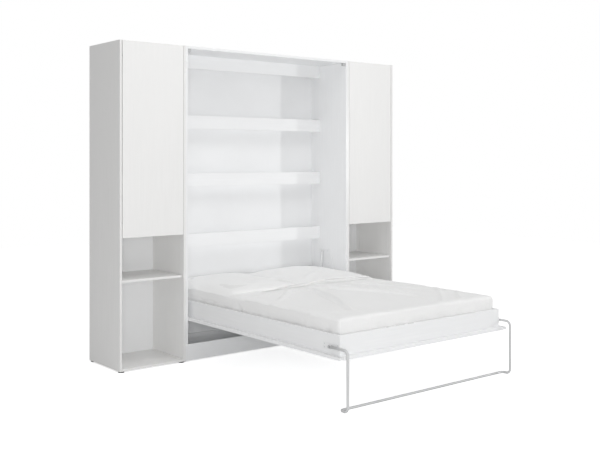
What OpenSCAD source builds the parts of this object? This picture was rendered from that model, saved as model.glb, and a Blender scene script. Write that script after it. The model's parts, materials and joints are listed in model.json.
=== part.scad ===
// Vertical wall bed between two storage towers.
// X runs along the wall, +Y points to the wall, +Z is up. The bed is drawn folded down.
// The origin lies on the floor, in the middle of the whole footprint.

/* [Cabinets] */
// Outside width of the bed cabinet
cab_w = 1496; // [1490:1:1510]
// Depth of all cabinets, front edge to wall
cab_d = 446; // [446:1:460]
// Height of all cabinets above the floor
cab_h = 2176; // [2170:1:2200]
// Thickness of the bed cabinet's boards
board_t = 18; // [18:1:20]
// Outside width of one storage tower
tower_w = 500; // [450:1:600]
// Thickness of the towers' boards
tower_t = 16; // [16:1:18]
// Height of the glides under the cabinets
glide_h = 8; // [5:1:12]

/* [Bed] */
// Width of the mattress that the frame is made for
mattress_w = 1350; // [1340:1:1350]
// Length of the mattress that the frame is made for
mattress_l = 1900; // [1880:1:1900]
// Thickness of the mattress
mattress_h = 150; // [120:1:160]
// Thickness of the pillows when covered
pillow_h = 42; // [20:1:60]
// Height of the bed frame's rails
rail_h = 114; // [110:1:120]
// Height of the face panel's underside above the floor when the bed is down
panel_z = 284; // [280:1:290]
// How far the face panel stands out past the foot board
panel_lip = 38; // [30:1:38]

/* [Leg] */
// Diameter of the leg's tube
tube_d = 16; // [14:1:18]
// Distance from the foot board to the middle of the leg's upright
leg_out = 80; // [75:1:85]
// Distance from the leg's pivot to the foot board
leg_set = 70; // [66:1:74]
// Height of the leg's pivot above the floor
leg_pivot_z = 344; // [340:1:348]
// How far the foot of the leg turns back towards the cabinet
hook_l = 61; // [58:1:64]

/* [Hidden] */
$fn = 48;
eps = 0.01;

LEFT = -1;
RIGHT = 1;
SIDES = [LEFT, RIGHT];

// Every Y below is measured from the cabinets' front plane, which lies at front_y.
half_w = cab_w / 2;
inner_w = half_w - board_t;
row_w = cab_w + 2 * tower_w;
side_gap = 35;
frame_half = inner_w - side_gap;
frame_in = frame_half - board_t;
head_gap = 39;
mattress_play = 2;
frame_head = cab_d - head_gap;
frame_foot = frame_head - mattress_l - 2 * (board_t + mattress_play);
leg_y = frame_foot - leg_out;
front_y = (-leg_y + tube_d / 2 - cab_d) / 2;

// Bed cabinet
back_t = 4;
back_y = cab_d - 18;
back_rail_h = 98;
back_rail_y = 321;
back_rail_z = [750, 1195, 1620, cab_h - board_t - back_rail_h];
plinth_h = 113;
plinth_set = 2;
rear_rail_h = 90;
wall_hole_r = 3.5;
wall_hole_x = 600;
wall_hole_low = 60;
wall_hole_high = cab_h - board_t - 28;
bracket_w = 40;
bracket_leg = 45;
bracket_t = 2.5;

// Bed
panel_t = 18;
rail_z = panel_z + panel_t;
rail_top = rail_z + rail_h;
panel_gap = 4;
panel_half = inner_w - panel_gap;
panel_foot = frame_foot - panel_lip;
panel_head = cab_d - 26;
panel_corner = 6;
pivot_y = 140;
pivot_z = panel_z + pivot_y;
cleat_w = 25;
slat_t = 8;
cleat_h = 35;
slat_w = 60;
slat_count = 14;
slat_z = rail_z + cleat_h;
bed_z = slat_z + slat_t;
cover_t = 8;
skirt_t = 6;
mattress_half = frame_in - skirt_t - 3;
mattress_foot = frame_foot + board_t + skirt_t + 1;
mattress_head = frame_head - board_t - skirt_t - 1;
mattress_top = bed_z + mattress_h;
pillow_len = 755;
pillow_half = mattress_half - 13;

// Lift mechanism
plate_t = 3;
pin_r = 7;
running = 0.05;
boss_r = 13;
boss_l = 20;
collar_r = 12;
strut_x = inner_w - plate_t - 14.5;
strut_top_y = 275;
strut_top_z = 650;
strut_end_y = pivot_y + 150;
strut_end_z = pivot_z - 20;
strut_len = norm([strut_end_y - strut_top_y, strut_end_z - strut_top_z]);
strut_tilt = atan2(strut_end_y - strut_top_y, strut_top_z - strut_end_z);
stud_r = 4;
eye_w = 12;

// Leg
tube_x = frame_half + 12;
leg_pivot_y = frame_foot + leg_set;
bend_r = 30;
foot_bend_r = 28;
hook_bend_r = 22;
slot_in = 2;
slot_out = 22;
slot_past_pivot = 14;

// Towers, measured from a tower's outer face (U) and the front plane
door_t = 16;
door_hinge_gap = 5;
door_gap = 3;
door_z = 880;
door_top_gap = 2;
door_u = tower_t + door_hinge_gap;
door_w = tower_w - 2 * tower_t - door_hinge_gap - door_gap;
panel_set = door_t + 2;
divider_z = door_z + 2;
niche_shelf_z = 584;
niche_shelf_set = 18;
closet_shelf_z = [1310, 1731];
pin_d = 4.9;
pin_hole_r = 2.5;
pin_in = 8;
pin_out = 10;
pin_set = [60, 380];
hinge_z = [980, 1527, 2074];
hinge_u = door_u + 2;
hinge_y = 5;
hinge_pin_r = 1.5;
cup_r = 17.5;
cup_set = 22.5;
latch_u = tower_w - tower_t - 34;
latch_z = cab_h - tower_t - 7;
plunger_r = 4;

// ---------- helpers ----------

// Moves what is drawn from the front plane into the part's frame
module from_front() {
    translate([0, front_y, 0])
        children();
}

// Draws in a tower's own frame: X from its outer face towards the bed
module at_tower(side) {
    from_front()
        mirror([side == RIGHT ? 1 : 0, 0, 0])
            translate([-row_w / 2, 0, 0])
                children();
}

// A board given by its lowest and highest corners
module board(low, high) {
    translate(low)
        cube(high - low);
}

// The same board on one side or the other of the bed, given for the right side
module on_side(side) {
    from_front()
        mirror([side == LEFT ? 1 : 0, 0, 0])
            children();
}

// An outline in Y and Z, made thick along X from x0
module profile(x0, thick, points) {
    translate([x0, 0, 0])
        rotate([90, 0, 90])
            linear_extrude(thick)
                polygon(points);
}

// A round bar along X from x0
module bar_x(x0, y, z, r, l) {
    translate([x0, y, z])
        rotate([0, 90, 0])
            cylinder(r = r, h = l);
}

// A round bar along Y from y0
module bar_y(x, y0, z, r, l) {
    translate([x, y0, z])
        rotate([-90, 0, 0])
            cylinder(r = r, h = l);
}

// ---------- bed cabinet ----------

module cabinet_side() {
    color("white")
        board([inner_w, 0, glide_h], [half_w, cab_d, cab_h]);
}

module cabinet_left_side() {
    on_side(LEFT)
        cabinet_side();
}

module cabinet_right_side() {
    on_side(RIGHT)
        cabinet_side();
}

module cabinet_top() {
    color("white")
        from_front()
            board([-inner_w, 0, cab_h - board_t], [inner_w, cab_d, cab_h]);
}

// The thin back, drilled where screws go into the wall
module cabinet_back() {
    color("whitesmoke")
        from_front()
            difference() {
                board([-inner_w, back_y, glide_h], [inner_w, back_y + back_t, cab_h - board_t]);
                wall_holes(back_y - 1, back_t + 2);
            }
}

module wall_holes(y0, l) {
    for (x = [-wall_hole_x, wall_hole_x], z = [wall_hole_low, wall_hole_high])
        bar_y(x, y0, z, wall_hole_r, l);
}

module back_rails() {
    color("white")
        from_front()
            for (z = back_rail_z)
                board([-inner_w, back_rail_y, z], [inner_w, back_rail_y + board_t, z + back_rail_h]);
}

module plinth() {
    color("white")
        from_front()
            board([-inner_w, plinth_set, glide_h],
                [inner_w, plinth_set + board_t, glide_h + plinth_h]);
}

module rear_rail() {
    color("white")
        from_front()
            difference() {
                board([-inner_w, back_y - board_t, glide_h], [inner_w, back_y, glide_h + rear_rail_h]);
                wall_holes(back_y - board_t - 1, board_t + 2);
            }
}

// Small blocks under the top that the closed face panel stops at
module closing_stops() {
    stop_h = 22;
    color("dimgray")
        for (side = SIDES)
            on_side(side)
                board([inner_w - 26, 4, cab_h - board_t - stop_h],
                    [inner_w - 4, 26, cab_h - board_t]);
}

// Steel angles under the top, each with a hole for a wall screw
module wall_brackets() {
    top = cab_h - board_t;
    color("silver")
        for (side = SIDES)
            on_side(side)
                difference() {
                    translate([wall_hole_x - bracket_w / 2, 0, 0])
                        union() {
                            board([0, back_y - bracket_leg, top - bracket_t],
                                [bracket_w, back_y, top]);
                            board([0, back_y - bracket_t, top - bracket_leg],
                                [bracket_w, back_y, top]);
                        }
                    bar_y(wall_hole_x, back_y - bracket_t - 1, wall_hole_high, wall_hole_r, 5);
                }
}

// ---------- lift mechanism on the cabinet ----------

// Plate screwed to the cabinet's side, with the stud that the gas strut hangs on
module mechanism_plate() {
    outline = [[108, 375], [200, 375], [250, 430], [325, 560], [325, 668], [200, 668],
        [162, 557], [108, 420]];
    color("gainsboro")
        union() {
            profile(inner_w - plate_t, plate_t, outline);
            bar_x(strut_x - eye_w / 2, strut_top_y, strut_top_z, stud_r,
                inner_w - plate_t - strut_x + eye_w / 2 + eps);
        }
}

module left_mechanism_plate() {
    on_side(LEFT)
        mechanism_plate();
}

module right_mechanism_plate() {
    on_side(RIGHT)
        mechanism_plate();
}

// The two pins that the bed turns on, each with a collar that keeps the bed centred
module pivot_pins() {
    collar_l = side_gap - 2 * plate_t - boss_l - 0.6;
    color("silver")
        for (side = SIDES)
            on_side(side) {
                bar_x(frame_half + 0.5, pivot_y, pivot_z, pin_r, side_gap - plate_t - 0.5);
                bar_x(inner_w - plate_t - collar_l, pivot_y, pivot_z, collar_r, collar_l);
            }
}

module cabinet_glides() {
    color("black")
        for (side = SIDES, y = [30, cab_d - 30])
            on_side(side)
                translate([half_w - board_t / 2, y, 0])
                    cylinder(d = board_t, h = glide_h);
}

module tower_glides() {
    inset = 23;
    color("black")
        for (side = SIDES, u = [inset, tower_w - inset], y = [inset, cab_d - inset])
            at_tower(side)
                translate([u, y, 0])
                    cylinder(d = 40, h = glide_h);
}

// ---------- storage towers ----------

// Sockets for the shelf pins in a tower side whose inner face is at u
module pin_sockets(u, depth) {
    for (z = concat([niche_shelf_z], closet_shelf_z), y = pin_set)
        bar_x(min(u, u + depth), y, z - pin_d / 2, pin_hole_r, abs(depth));
}

module tower_outer_side() {
    color("white")
        difference() {
            board([0, 0, glide_h], [tower_t, cab_d, cab_h]);
            pin_sockets(tower_t + eps, -pin_in - eps);
        }
}

module tower_inner_side() {
    color("white")
        difference() {
            board([tower_w - tower_t, 0, glide_h], [tower_w, cab_d, cab_h]);
            pin_sockets(tower_w - tower_t - eps, pin_in + eps);
        }
}

// The top sits behind the door, which covers its front edge
module tower_top() {
    color("white")
        board([tower_t, panel_set, cab_h - tower_t], [tower_w - tower_t, cab_d, cab_h]);
}

module tower_bottom() {
    color("white")
        board([tower_t, 0, glide_h], [tower_w - tower_t, back_y, glide_h + tower_t]);
}

module tower_divider() {
    color("white")
        board([tower_t, panel_set, divider_z], [tower_w - tower_t, back_y, divider_z + tower_t]);
}

module tower_back() {
    color("whitesmoke")
        board([tower_t, back_y, glide_h], [tower_w - tower_t, back_y + back_t, cab_h - tower_t]);
}

// Loose shelf in the open niche, with more play at its right-hand end
module niche_shelf(side) {
    play_left = 0.5;
    play_right = 4.5;
    play_outer = side == LEFT ? play_left : play_right;
    play_inner = side == LEFT ? play_right : play_left;
    color("white")
        board([tower_t + play_outer, niche_shelf_set, niche_shelf_z],
            [tower_w - tower_t - play_inner, back_y - 1, niche_shelf_z + tower_t]);
}

module closet_shelves() {
    color("white")
        for (z = closet_shelf_z)
            board([tower_t + 0.5, panel_set + 2, z],
                [tower_w - tower_t - 0.5, back_y - 1, z + tower_t]);
}

module shelf_pins() {
    pin_l = pin_in + pin_out;
    color("silver")
        for (side = SIDES)
            at_tower(side)
                for (z = concat([niche_shelf_z], closet_shelf_z), y = pin_set) {
                    bar_x(tower_t - pin_in, y, z - pin_d / 2, pin_d / 2, pin_l);
                    bar_x(tower_w - tower_t - pin_out, y, z - pin_d / 2, pin_d / 2, pin_l);
                }
}

// Room that one hinge needs in the door: a cup bore and a notch out of the back edge
module hinge_pocket() {
    play = 0.1;
    bar_y(door_u + cup_set, hinge_y - 1 - play, 0, cup_r + play, door_t);
    board([door_u - 1, 2.1, -8.6], [door_u + cup_set, door_t + 1, 8.6]);
}

module door() {
    color("white")
        difference() {
            board([door_u, 0, door_z], [door_u + door_w, door_t, cab_h - door_top_gap]);
            for (z = hinge_z)
                translate([0, 0, z])
                    hinge_pocket();
        }
}

// Cup in the door, its flange, and the two ears that turn on the arm's pin
module hinge_cup() {
    ear_z = 5.3;
    ear_t = 3;
    link_u = hinge_u + 3.8;
    difference() {
        union() {
            bar_y(door_u + cup_set, hinge_y - 1, 0, cup_r, door_t - hinge_y + 1);
            board([door_u + 9, door_t, -26], [door_u + 37, door_t + 1.5, 26]);
            board([link_u, hinge_y - 1, -ear_z - ear_t], [link_u + 8, door_t, ear_z + ear_t]);
            for (z = [-ear_z - ear_t, ear_z])
                board([hinge_u - 1.9, hinge_y - 2.4, z], [link_u + 2, hinge_y + 4, z + ear_t]);
        }
        translate([hinge_u, hinge_y, -20])
            cylinder(r = hinge_pin_r + running, h = 40);
    }
}

module hinge_cups() {
    color("silver")
        for (z = hinge_z)
            translate([0, 0, z])
                hinge_cup();
}

// Arm on the tower's side, with the pin that the door turns on
module hinge_arm() {
    half_h = 5;
    union() {
        board([tower_t, 20, -20], [tower_t + plate_t, 70, 20]);
        board([tower_t, 20, -half_h], [hinge_u + 2.3, 28, half_h]);
        board([hinge_u - 2.3, hinge_y, -half_h], [hinge_u + 2.3, 24, half_h]);
        translate([hinge_u, hinge_y, -half_h])
            cylinder(r = 2.7, h = 2 * half_h);
        translate([hinge_u, hinge_y, -8.2])
            cylinder(r = hinge_pin_r, h = 16.4);
    }
}

module hinge_arms() {
    color("silver")
        for (side = SIDES)
            at_tower(side)
                for (z = hinge_z)
                    translate([0, 0, z])
                        hinge_arm();
}

module latch_housings() {
    color("lightgray")
        for (side = SIDES)
            at_tower(side)
                difference() {
                    board([latch_u - 10, 24, latch_z - 7], [latch_u + 10, 90, latch_z + 7]);
                    bar_y(latch_u, 23, latch_z, plunger_r + running, 62);
                }
}

module latch_plunger() {
    color("lightgray")
        bar_y(latch_u, door_t + 0.5, latch_z, plunger_r, 64);
}

module left_tower_outer_side() at_tower(LEFT) tower_outer_side();
module left_tower_inner_side() at_tower(LEFT) tower_inner_side();
module left_tower_top() at_tower(LEFT) tower_top();
module left_tower_bottom() at_tower(LEFT) tower_bottom();
module left_tower_divider() at_tower(LEFT) tower_divider();
module left_tower_back() at_tower(LEFT) tower_back();
module left_niche_shelf() at_tower(LEFT) niche_shelf(LEFT);
module left_closet_shelves() at_tower(LEFT) closet_shelves();
module left_door() at_tower(LEFT) door();
module left_hinge_cups() at_tower(LEFT) hinge_cups();
module left_latch_plunger() at_tower(LEFT) latch_plunger();

module right_tower_outer_side() at_tower(RIGHT) tower_outer_side();
module right_tower_inner_side() at_tower(RIGHT) tower_inner_side();
module right_tower_top() at_tower(RIGHT) tower_top();
module right_tower_bottom() at_tower(RIGHT) tower_bottom();
module right_tower_divider() at_tower(RIGHT) tower_divider();
module right_tower_back() at_tower(RIGHT) tower_back();
module right_niche_shelf() at_tower(RIGHT) niche_shelf(RIGHT);
module right_closet_shelves() at_tower(RIGHT) closet_shelves();
module right_door() at_tower(RIGHT) door();
module right_hinge_cups() at_tower(RIGHT) hinge_cups();
module right_latch_plunger() at_tower(RIGHT) latch_plunger();

// ---------- fold-down bed ----------

// Side rail, bored for the bolt that the leg turns on
module bed_rail() {
    color("white")
        difference() {
            board([frame_in, frame_foot + board_t, rail_z], [frame_half, frame_head, rail_top]);
            bar_x(frame_in + 1, leg_pivot_y, leg_pivot_z, stud_r + running, board_t);
        }
}

module left_bed_rail() on_side(LEFT) bed_rail();
module right_bed_rail() on_side(RIGHT) bed_rail();

module head_rail() {
    color("white")
        from_front()
            board([-frame_in, frame_head - board_t, rail_z], [frame_in, frame_head, rail_top]);
}

module foot_board() {
    color("white")
        from_front()
            board([-frame_half, frame_foot, rail_z], [frame_half, frame_foot + board_t, rail_top]);
}

// Panel under the frame, which is the front of the closed bed.
// Two slots, open at the foot, let the leg's arms swing through.
module face_panel() {
    color("white")
        from_front()
            difference() {
                translate([0, 0, panel_z])
                    linear_extrude(panel_t)
                        panel_outline();
                for (side = SIDES)
                    mirror([side == LEFT ? 1 : 0, 0, 0])
                        board([frame_half + slot_in, panel_foot - 1, panel_z - 1],
                            [frame_half + slot_out, leg_pivot_y + slot_past_pivot, rail_z + 1]);
            }
}

module panel_outline() {
    r = panel_corner;
    union() {
        for (x = [-panel_half + r, panel_half - r])
            translate([x, panel_foot + r])
                circle(r = r);
        translate([-panel_half + r, panel_foot])
            square([2 * (panel_half - r), r + eps]);
        translate([-panel_half, panel_foot + r])
            square([2 * panel_half, panel_head - panel_foot - r]);
    }
}

module centre_beam() {
    color("burlywood")
        from_front()
            board([-board_t / 2, frame_foot + board_t, rail_z],
                [board_t / 2, frame_head - board_t, slat_z]);
}

module slat_cleats() {
    color("burlywood")
        for (side = SIDES)
            on_side(side)
                board([frame_in - cleat_w, frame_foot + board_t, rail_z],
                    [frame_in, frame_head - board_t, slat_z]);
}

module slats() {
    inside = frame_head - frame_foot - 2 * board_t;
    step = inside / slat_count;
    color("burlywood")
        from_front()
            for (i = [0 : slat_count - 1])
                translate([0, frame_foot + board_t + step * (i + 0.5), slat_z])
                    board([-frame_in + 4, -slat_w / 2, 0], [frame_in - 4, slat_w / 2, slat_t]);
}

// Plate on the bed's side rail, with the boss that turns on the pivot pin
module bed_plate() {
    outline = [[95, 318], [350, 318], [350, 396], [312, 424], [190, 448], [140, 452],
        [113, 441], [104, 415]];
    color("gainsboro")
        difference() {
            union() {
                profile(frame_half, plate_t, outline);
                bar_x(frame_half + plate_t - eps, pivot_y, pivot_z, boss_r, boss_l + eps);
            }
            bar_x(frame_half - 1, pivot_y, pivot_z, pin_r + running, 2 + plate_t + boss_l);
        }
}

module left_bed_plate() on_side(LEFT) bed_plate();
module right_bed_plate() on_side(RIGHT) bed_plate();

// Plates on the side rails that carry the leg
module leg_brackets() {
    length = 140;
    height = 36;
    color("gainsboro")
        for (side = SIDES)
            on_side(side)
                difference() {
                    board([frame_half, leg_pivot_y - length / 2, leg_pivot_z - height / 2],
                        [frame_half + plate_t, leg_pivot_y + length / 2, leg_pivot_z + height / 2]);
                    bar_x(frame_half - 1, leg_pivot_y, leg_pivot_z, stud_r + running, plate_t + 2);
                }
}

module leg_bolts() {
    head_x = tube_x + tube_d / 2 + 1;
    color("silver")
        for (side = SIDES)
            on_side(side) {
                bar_x(frame_in + 1.5, leg_pivot_y, leg_pivot_z, stud_r, head_x - frame_in - 1.5 + eps);
                bar_x(head_x, leg_pivot_y, leg_pivot_z, 7, 4);
            }
}

module mattress() {
    color("white")
        from_front()
            board([-mattress_half, mattress_foot, bed_z],
                [mattress_half, mattress_head, mattress_top]);
}

module pillow() {
    gap = 8;
    color("white")
        board([gap, mattress_head - 12 - pillow_len, mattress_top],
            [pillow_half, mattress_head - 12, mattress_top + pillow_h]);
}

module left_pillow() on_side(LEFT) pillow();
module right_pillow() on_side(RIGHT) pillow();

// Outline of the cover over the pillows, seen along X, grown by grow on all sides
module pillow_rise(grow) {
    foot = mattress_head - 12 - pillow_len;
    head = mattress_head - 12;
    top = mattress_top + pillow_h;
    polygon([[foot - grow, mattress_top - 1], [head + grow, mattress_top - 1],
        [head + grow, top], [head, top + grow], [foot, top + grow], [foot - grow, top]]);
}

// Quilted cover: a shell over the mattress and the pillows, tucked in behind the rails
module bed_cover() {
    skirt_z = bed_z + 45;
    color("white")
        from_front()
            difference() {
                union() {
                    board([-mattress_half - skirt_t, mattress_foot - skirt_t, skirt_z],
                        [mattress_half + skirt_t, mattress_head + skirt_t, mattress_top + cover_t]);
                    rise(cover_t, pillow_half + cover_t);
                }
                board([-mattress_half, mattress_foot, skirt_z - 1],
                    [mattress_half, mattress_head, mattress_top]);
                rise(0, pillow_half);
            }
}

module rise(grow, half) {
    translate([-half, 0, 0])
        rotate([90, 0, 90])
            linear_extrude(2 * half)
                pillow_rise(grow);
}

// ---------- folding leg ----------

// A quarter turn of tube about the origin, from +X towards +Y
module tube_bend(r) {
    rotate_extrude(angle = 90)
        translate([r, 0])
            circle(d = tube_d);
}

// Half of the leg, drawn for the right side up to the middle of the crossbar
module leg_half() {
    z_low = tube_d / 2;
    hook_y = leg_y + hook_l;
    translate([tube_x, 0, 0]) {
        // arm
        bar_y(0, leg_y + bend_r, leg_pivot_z, tube_d / 2, leg_pivot_y - leg_y - bend_r);
        translate([0, leg_y + bend_r, leg_pivot_z - bend_r])
            rotate([90, 0, -90])
                tube_bend(bend_r);
        // upright
        translate([0, leg_y, z_low + foot_bend_r])
            cylinder(d = tube_d, h = leg_pivot_z - bend_r - z_low - foot_bend_r);
        translate([0, leg_y + foot_bend_r, z_low + foot_bend_r])
            rotate([-90, 0, -90])
                tube_bend(foot_bend_r);
        // hook
        bar_y(0, leg_y + foot_bend_r, z_low, tube_d / 2, hook_l - foot_bend_r - hook_bend_r);
        translate([-hook_bend_r, hook_y - hook_bend_r, z_low])
            tube_bend(hook_bend_r);
    }
    bar_x(0, hook_y, z_low, tube_d / 2, tube_x - hook_bend_r);
}

module leg_frame() {
    color("whitesmoke")
        for (side = SIDES)
            on_side(side)
                difference() {
                    union() {
                        leg_half();
                        bar_x(tube_x - eye_w / 2, leg_pivot_y, leg_pivot_z, 12, eye_w);
                    }
                    bar_x(tube_x - 20, leg_pivot_y, leg_pivot_z, stud_r + running, 40);
                }
}

// ---------- gas struts ----------

// Draws in a strut's own frame: hung at its upper eye, Z pointing up along it
module at_strut(side) {
    on_side(side)
        translate([strut_x, strut_top_y, strut_top_z])
            rotate([strut_tilt, 0, 0])
                children();
}

module strut_eye(z, r) {
    translate([-eye_w / 2, 0, z])
        rotate([0, 90, 0])
            cylinder(r = r, h = eye_w);
}

module strut_cylinder() {
    top = 18;
    bottom = 205;
    color("lightgray")
        difference() {
            union() {
                strut_eye(0, 9);
                translate([0, 0, -bottom])
                    cylinder(r = 10, h = bottom - top);
                translate([0, 0, -top - 1])
                    cylinder(r = 4.5, h = top - 7);
            }
            translate([0, 0, -bottom + 5])
                cylinder(r = 8, h = bottom - top - 10);
            translate([0, 0, -bottom - 1])
                cylinder(r = 5 + running, h = 10);
            translate([-eye_w, 0, 0])
                rotate([0, 90, 0])
                    cylinder(r = stud_r + running, h = 2 * eye_w);
        }
}

// Rod with its piston. Its stud stops just short of the plate on the bed.
module strut_rod() {
    stud_gap = 0.6;
    color("silver")
        union() {
            strut_eye(-strut_len, 9);
            translate([0, 0, -strut_len + 5])
                cylinder(r = 5, h = strut_len - 5 - 30);
            translate([0, 0, -36])
                cylinder(r = 7.9, h = 6);
            translate([frame_half + plate_t + stud_gap - strut_x, 0, -strut_len])
                rotate([0, 90, 0])
                    cylinder(r = stud_r, h = strut_x - frame_half - plate_t - stud_gap);
        }
}

module left_strut_cylinder() at_strut(LEFT) strut_cylinder();
module right_strut_cylinder() at_strut(RIGHT) strut_cylinder();
module left_strut_rod() at_strut(LEFT) strut_rod();
module right_strut_rod() at_strut(RIGHT) strut_rod();

// ---------- the part ----------

cabinet_left_side();
cabinet_right_side();
cabinet_top();
cabinet_back();
back_rails();
plinth();
rear_rail();
closing_stops();
wall_brackets();
left_mechanism_plate();
right_mechanism_plate();
pivot_pins();
cabinet_glides();
tower_glides();
left_tower_outer_side();
left_tower_inner_side();
left_tower_top();
left_tower_bottom();
left_tower_divider();
left_tower_back();
left_niche_shelf();
left_closet_shelves();
left_door();
left_hinge_cups();
left_latch_plunger();
right_tower_outer_side();
right_tower_inner_side();
right_tower_top();
right_tower_bottom();
right_tower_divider();
right_tower_back();
right_niche_shelf();
right_closet_shelves();
right_door();
right_hinge_cups();
right_latch_plunger();
hinge_arms();
latch_housings();
shelf_pins();
left_bed_rail();
right_bed_rail();
head_rail();
foot_board();
face_panel();
centre_beam();
slat_cleats();
slats();
left_bed_plate();
right_bed_plate();
leg_brackets();
leg_bolts();
mattress();
left_pillow();
right_pillow();
bed_cover();
leg_frame();
left_strut_cylinder();
left_strut_rod();
right_strut_cylinder();
right_strut_rod();
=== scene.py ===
"""Vertical wall bed between two storage towers: the finished look round its CAD frame.

Run as a script, it makes every piece in order. Everything is in metres, in the frame's own axes:
X runs along the wall, +Y points to the wall and Z is up. The bed is made folded down.
"""

import json
import math

import bmesh
import bpy
import numpy as np
from bpy.props import FloatProperty, FloatVectorProperty, IntProperty, PointerProperty
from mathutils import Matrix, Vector, noise


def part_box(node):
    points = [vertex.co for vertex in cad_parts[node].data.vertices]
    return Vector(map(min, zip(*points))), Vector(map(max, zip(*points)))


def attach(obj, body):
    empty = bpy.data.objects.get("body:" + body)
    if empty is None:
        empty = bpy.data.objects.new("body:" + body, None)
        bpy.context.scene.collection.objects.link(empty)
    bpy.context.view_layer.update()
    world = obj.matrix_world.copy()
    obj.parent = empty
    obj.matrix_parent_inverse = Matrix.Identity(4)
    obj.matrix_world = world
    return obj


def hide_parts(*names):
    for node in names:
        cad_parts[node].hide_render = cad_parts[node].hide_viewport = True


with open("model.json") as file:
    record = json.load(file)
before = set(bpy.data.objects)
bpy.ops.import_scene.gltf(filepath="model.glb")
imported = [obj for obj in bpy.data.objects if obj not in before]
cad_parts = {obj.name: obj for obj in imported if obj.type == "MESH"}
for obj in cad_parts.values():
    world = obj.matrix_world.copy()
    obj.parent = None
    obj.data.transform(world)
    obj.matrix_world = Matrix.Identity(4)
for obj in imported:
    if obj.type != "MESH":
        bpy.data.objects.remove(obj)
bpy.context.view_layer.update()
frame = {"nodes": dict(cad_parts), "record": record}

bl_info = {
    "name": "Vertical Wall Bed",
    "version": (1, 0, 0),
    "blender": (4, 5, 0),
    "location": "View3D > Sidebar > Wall Bed",
    "description": "Finishes a wall bed with two storage towers round its CAD frame",
    "category": "Object",
}

MM = 0.001
LEFT, RIGHT = -1, 1
SIDES = (("left", LEFT), ("right", RIGHT))
NODES = frame["nodes"]


def low(node):
    """Lowest corner of a CAD node."""
    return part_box(node)[0]


def high(node):
    """Highest corner of a CAD node."""
    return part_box(node)[1]


# The cabinets' front plane, half the room between the bed cabinet's sides, and half the whole width
FRONT = low("cabinet_left_side").y
INNER_HALF = low("cabinet_right_side").x
OUTER_HALF = high("right_tower_outer_side").x


# ---------- settings ----------

class WallBedBoards(bpy.types.PropertyGroup):
    """Finish of the melamine boards."""

    cabinet_white: FloatVectorProperty(
        name="Bed cabinet white", description="Colour of the bed cabinet's and the bed's boards",
        subtype="COLOR", size=3, min=0, max=1, default=(0.895, 0.900, 0.906))
    tower_white: FloatVectorProperty(
        name="Tower white", description="Colour of the towers' boards and doors",
        subtype="COLOR", size=3, min=0, max=1, default=(0.858, 0.855, 0.847))
    edge_radius: FloatProperty(
        name="Edge radius", description="How far the boards' edges are rounded",
        unit="LENGTH", min=0.0002, max=0.002, default=0.0007)
    band_thickness: FloatProperty(
        name="Edge band", description="How far the edge bands stand out of the boards",
        unit="LENGTH", min=0.0001, max=0.001, default=0.0003)


class WallBedBedding(bpy.types.PropertyGroup):
    """Shape and colour of the soft goods."""

    cloth_white: FloatVectorProperty(
        name="Cloth", description="Colour of the cover's cotton",
        subtype="COLOR", size=3, min=0, max=1, default=(0.905, 0.905, 0.902))
    grid: FloatProperty(
        name="Cloth grid", description="Spacing of the cover's mesh before it is subdivided",
        unit="LENGTH", min=0.008, max=0.04, default=0.021)
    edge_round: FloatProperty(
        name="Edge rounding", description="Radius of the cover over the mattress's edges",
        unit="LENGTH", min=0.01, max=0.06, default=0.030)
    pillow_rise: FloatProperty(
        name="Pillow rise", description="Height of the pillows under the cover above the mattress",
        unit="LENGTH", min=0.02, max=0.08, default=0.047)
    spare_cloth: FloatProperty(
        name="Spare cloth", description="Share by which the cover is cut larger than what it lies on",
        min=0, max=0.08, default=0.022)
    seed: IntProperty(name="Seed", description="Seed of the cloth's random wrinkles", default=7)


class WallBedLeg(bpy.types.PropertyGroup):
    """Bends of the folding leg's tube, all measured at its middle."""

    tube: FloatProperty(
        name="Tube", description="Diameter of the leg's tube",
        unit="LENGTH", min=0.01, max=0.03, default=0.016)
    shoulder: FloatProperty(
        name="Shoulder bend", description="Radius from the arm to the upright",
        unit="LENGTH", min=0.02, max=0.06, default=0.030)
    foot: FloatProperty(
        name="Foot bend", description="Radius from the upright to the hook",
        unit="LENGTH", min=0.02, max=0.06, default=0.028)
    hook: FloatProperty(
        name="Hook bend", description="Radius from the hook to the crossbar",
        unit="LENGTH", min=0.02, max=0.06, default=0.022)
    hook_length: FloatProperty(
        name="Hook length", description="From the upright back to the crossbar",
        unit="LENGTH", min=0.04, max=0.1, default=0.061)


class WallBedStage(bpy.types.PropertyGroup):
    """Camera and light."""

    camera_place: FloatVectorProperty(
        name="Camera", description="Where the camera stands",
        subtype="TRANSLATION", size=3, default=(-3.929, -4.594, 1.393))
    camera_turn: FloatProperty(
        name="Turn", description="Turn of the camera from +Y towards +X",
        subtype="ANGLE", default=math.radians(38.96))
    lens: FloatProperty(
        name="Lens", description="Focal length on a 36 mm sensor, in millimetres",
        min=20, max=120, default=52.67)
    rise: FloatProperty(
        name="Shift", description="Vertical shift of the picture, as a share of its width",
        min=-0.3, max=0.3, default=-0.109)
    key_power: FloatProperty(
        name="Key light", description="Power of the key light, in watts", min=0, default=36)
    front_power: FloatProperty(
        name="Front light", description="Power of the soft light beside the camera, in watts",
        min=0, default=112)
    top_power: FloatProperty(
        name="Overhead light", description="Power of the light from above, in watts", min=0, default=62)
    side_power: FloatProperty(
        name="Side light", description="Power of the soft light from the left, in watts", min=0, default=12)
    sky: FloatProperty(
        name="Sky", description="Strength of the light from all sides", min=0, default=0.43)
    floor_glow: FloatProperty(
        name="Floor glow", description="Light that the floor adds where the camera sees it",
        min=0, default=0.62)
    bounces: IntProperty(
        name="Bounces", description="How often light bounces between matt surfaces", min=1, default=8)


# ---------- node helpers ----------

def plug(tree, socket, value):
    """Link an output to a socket, or set the socket to a value."""
    if isinstance(value, bpy.types.NodeSocket):
        tree.links.new(value, socket)
    elif value is not None:
        socket.default_value = value


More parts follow.
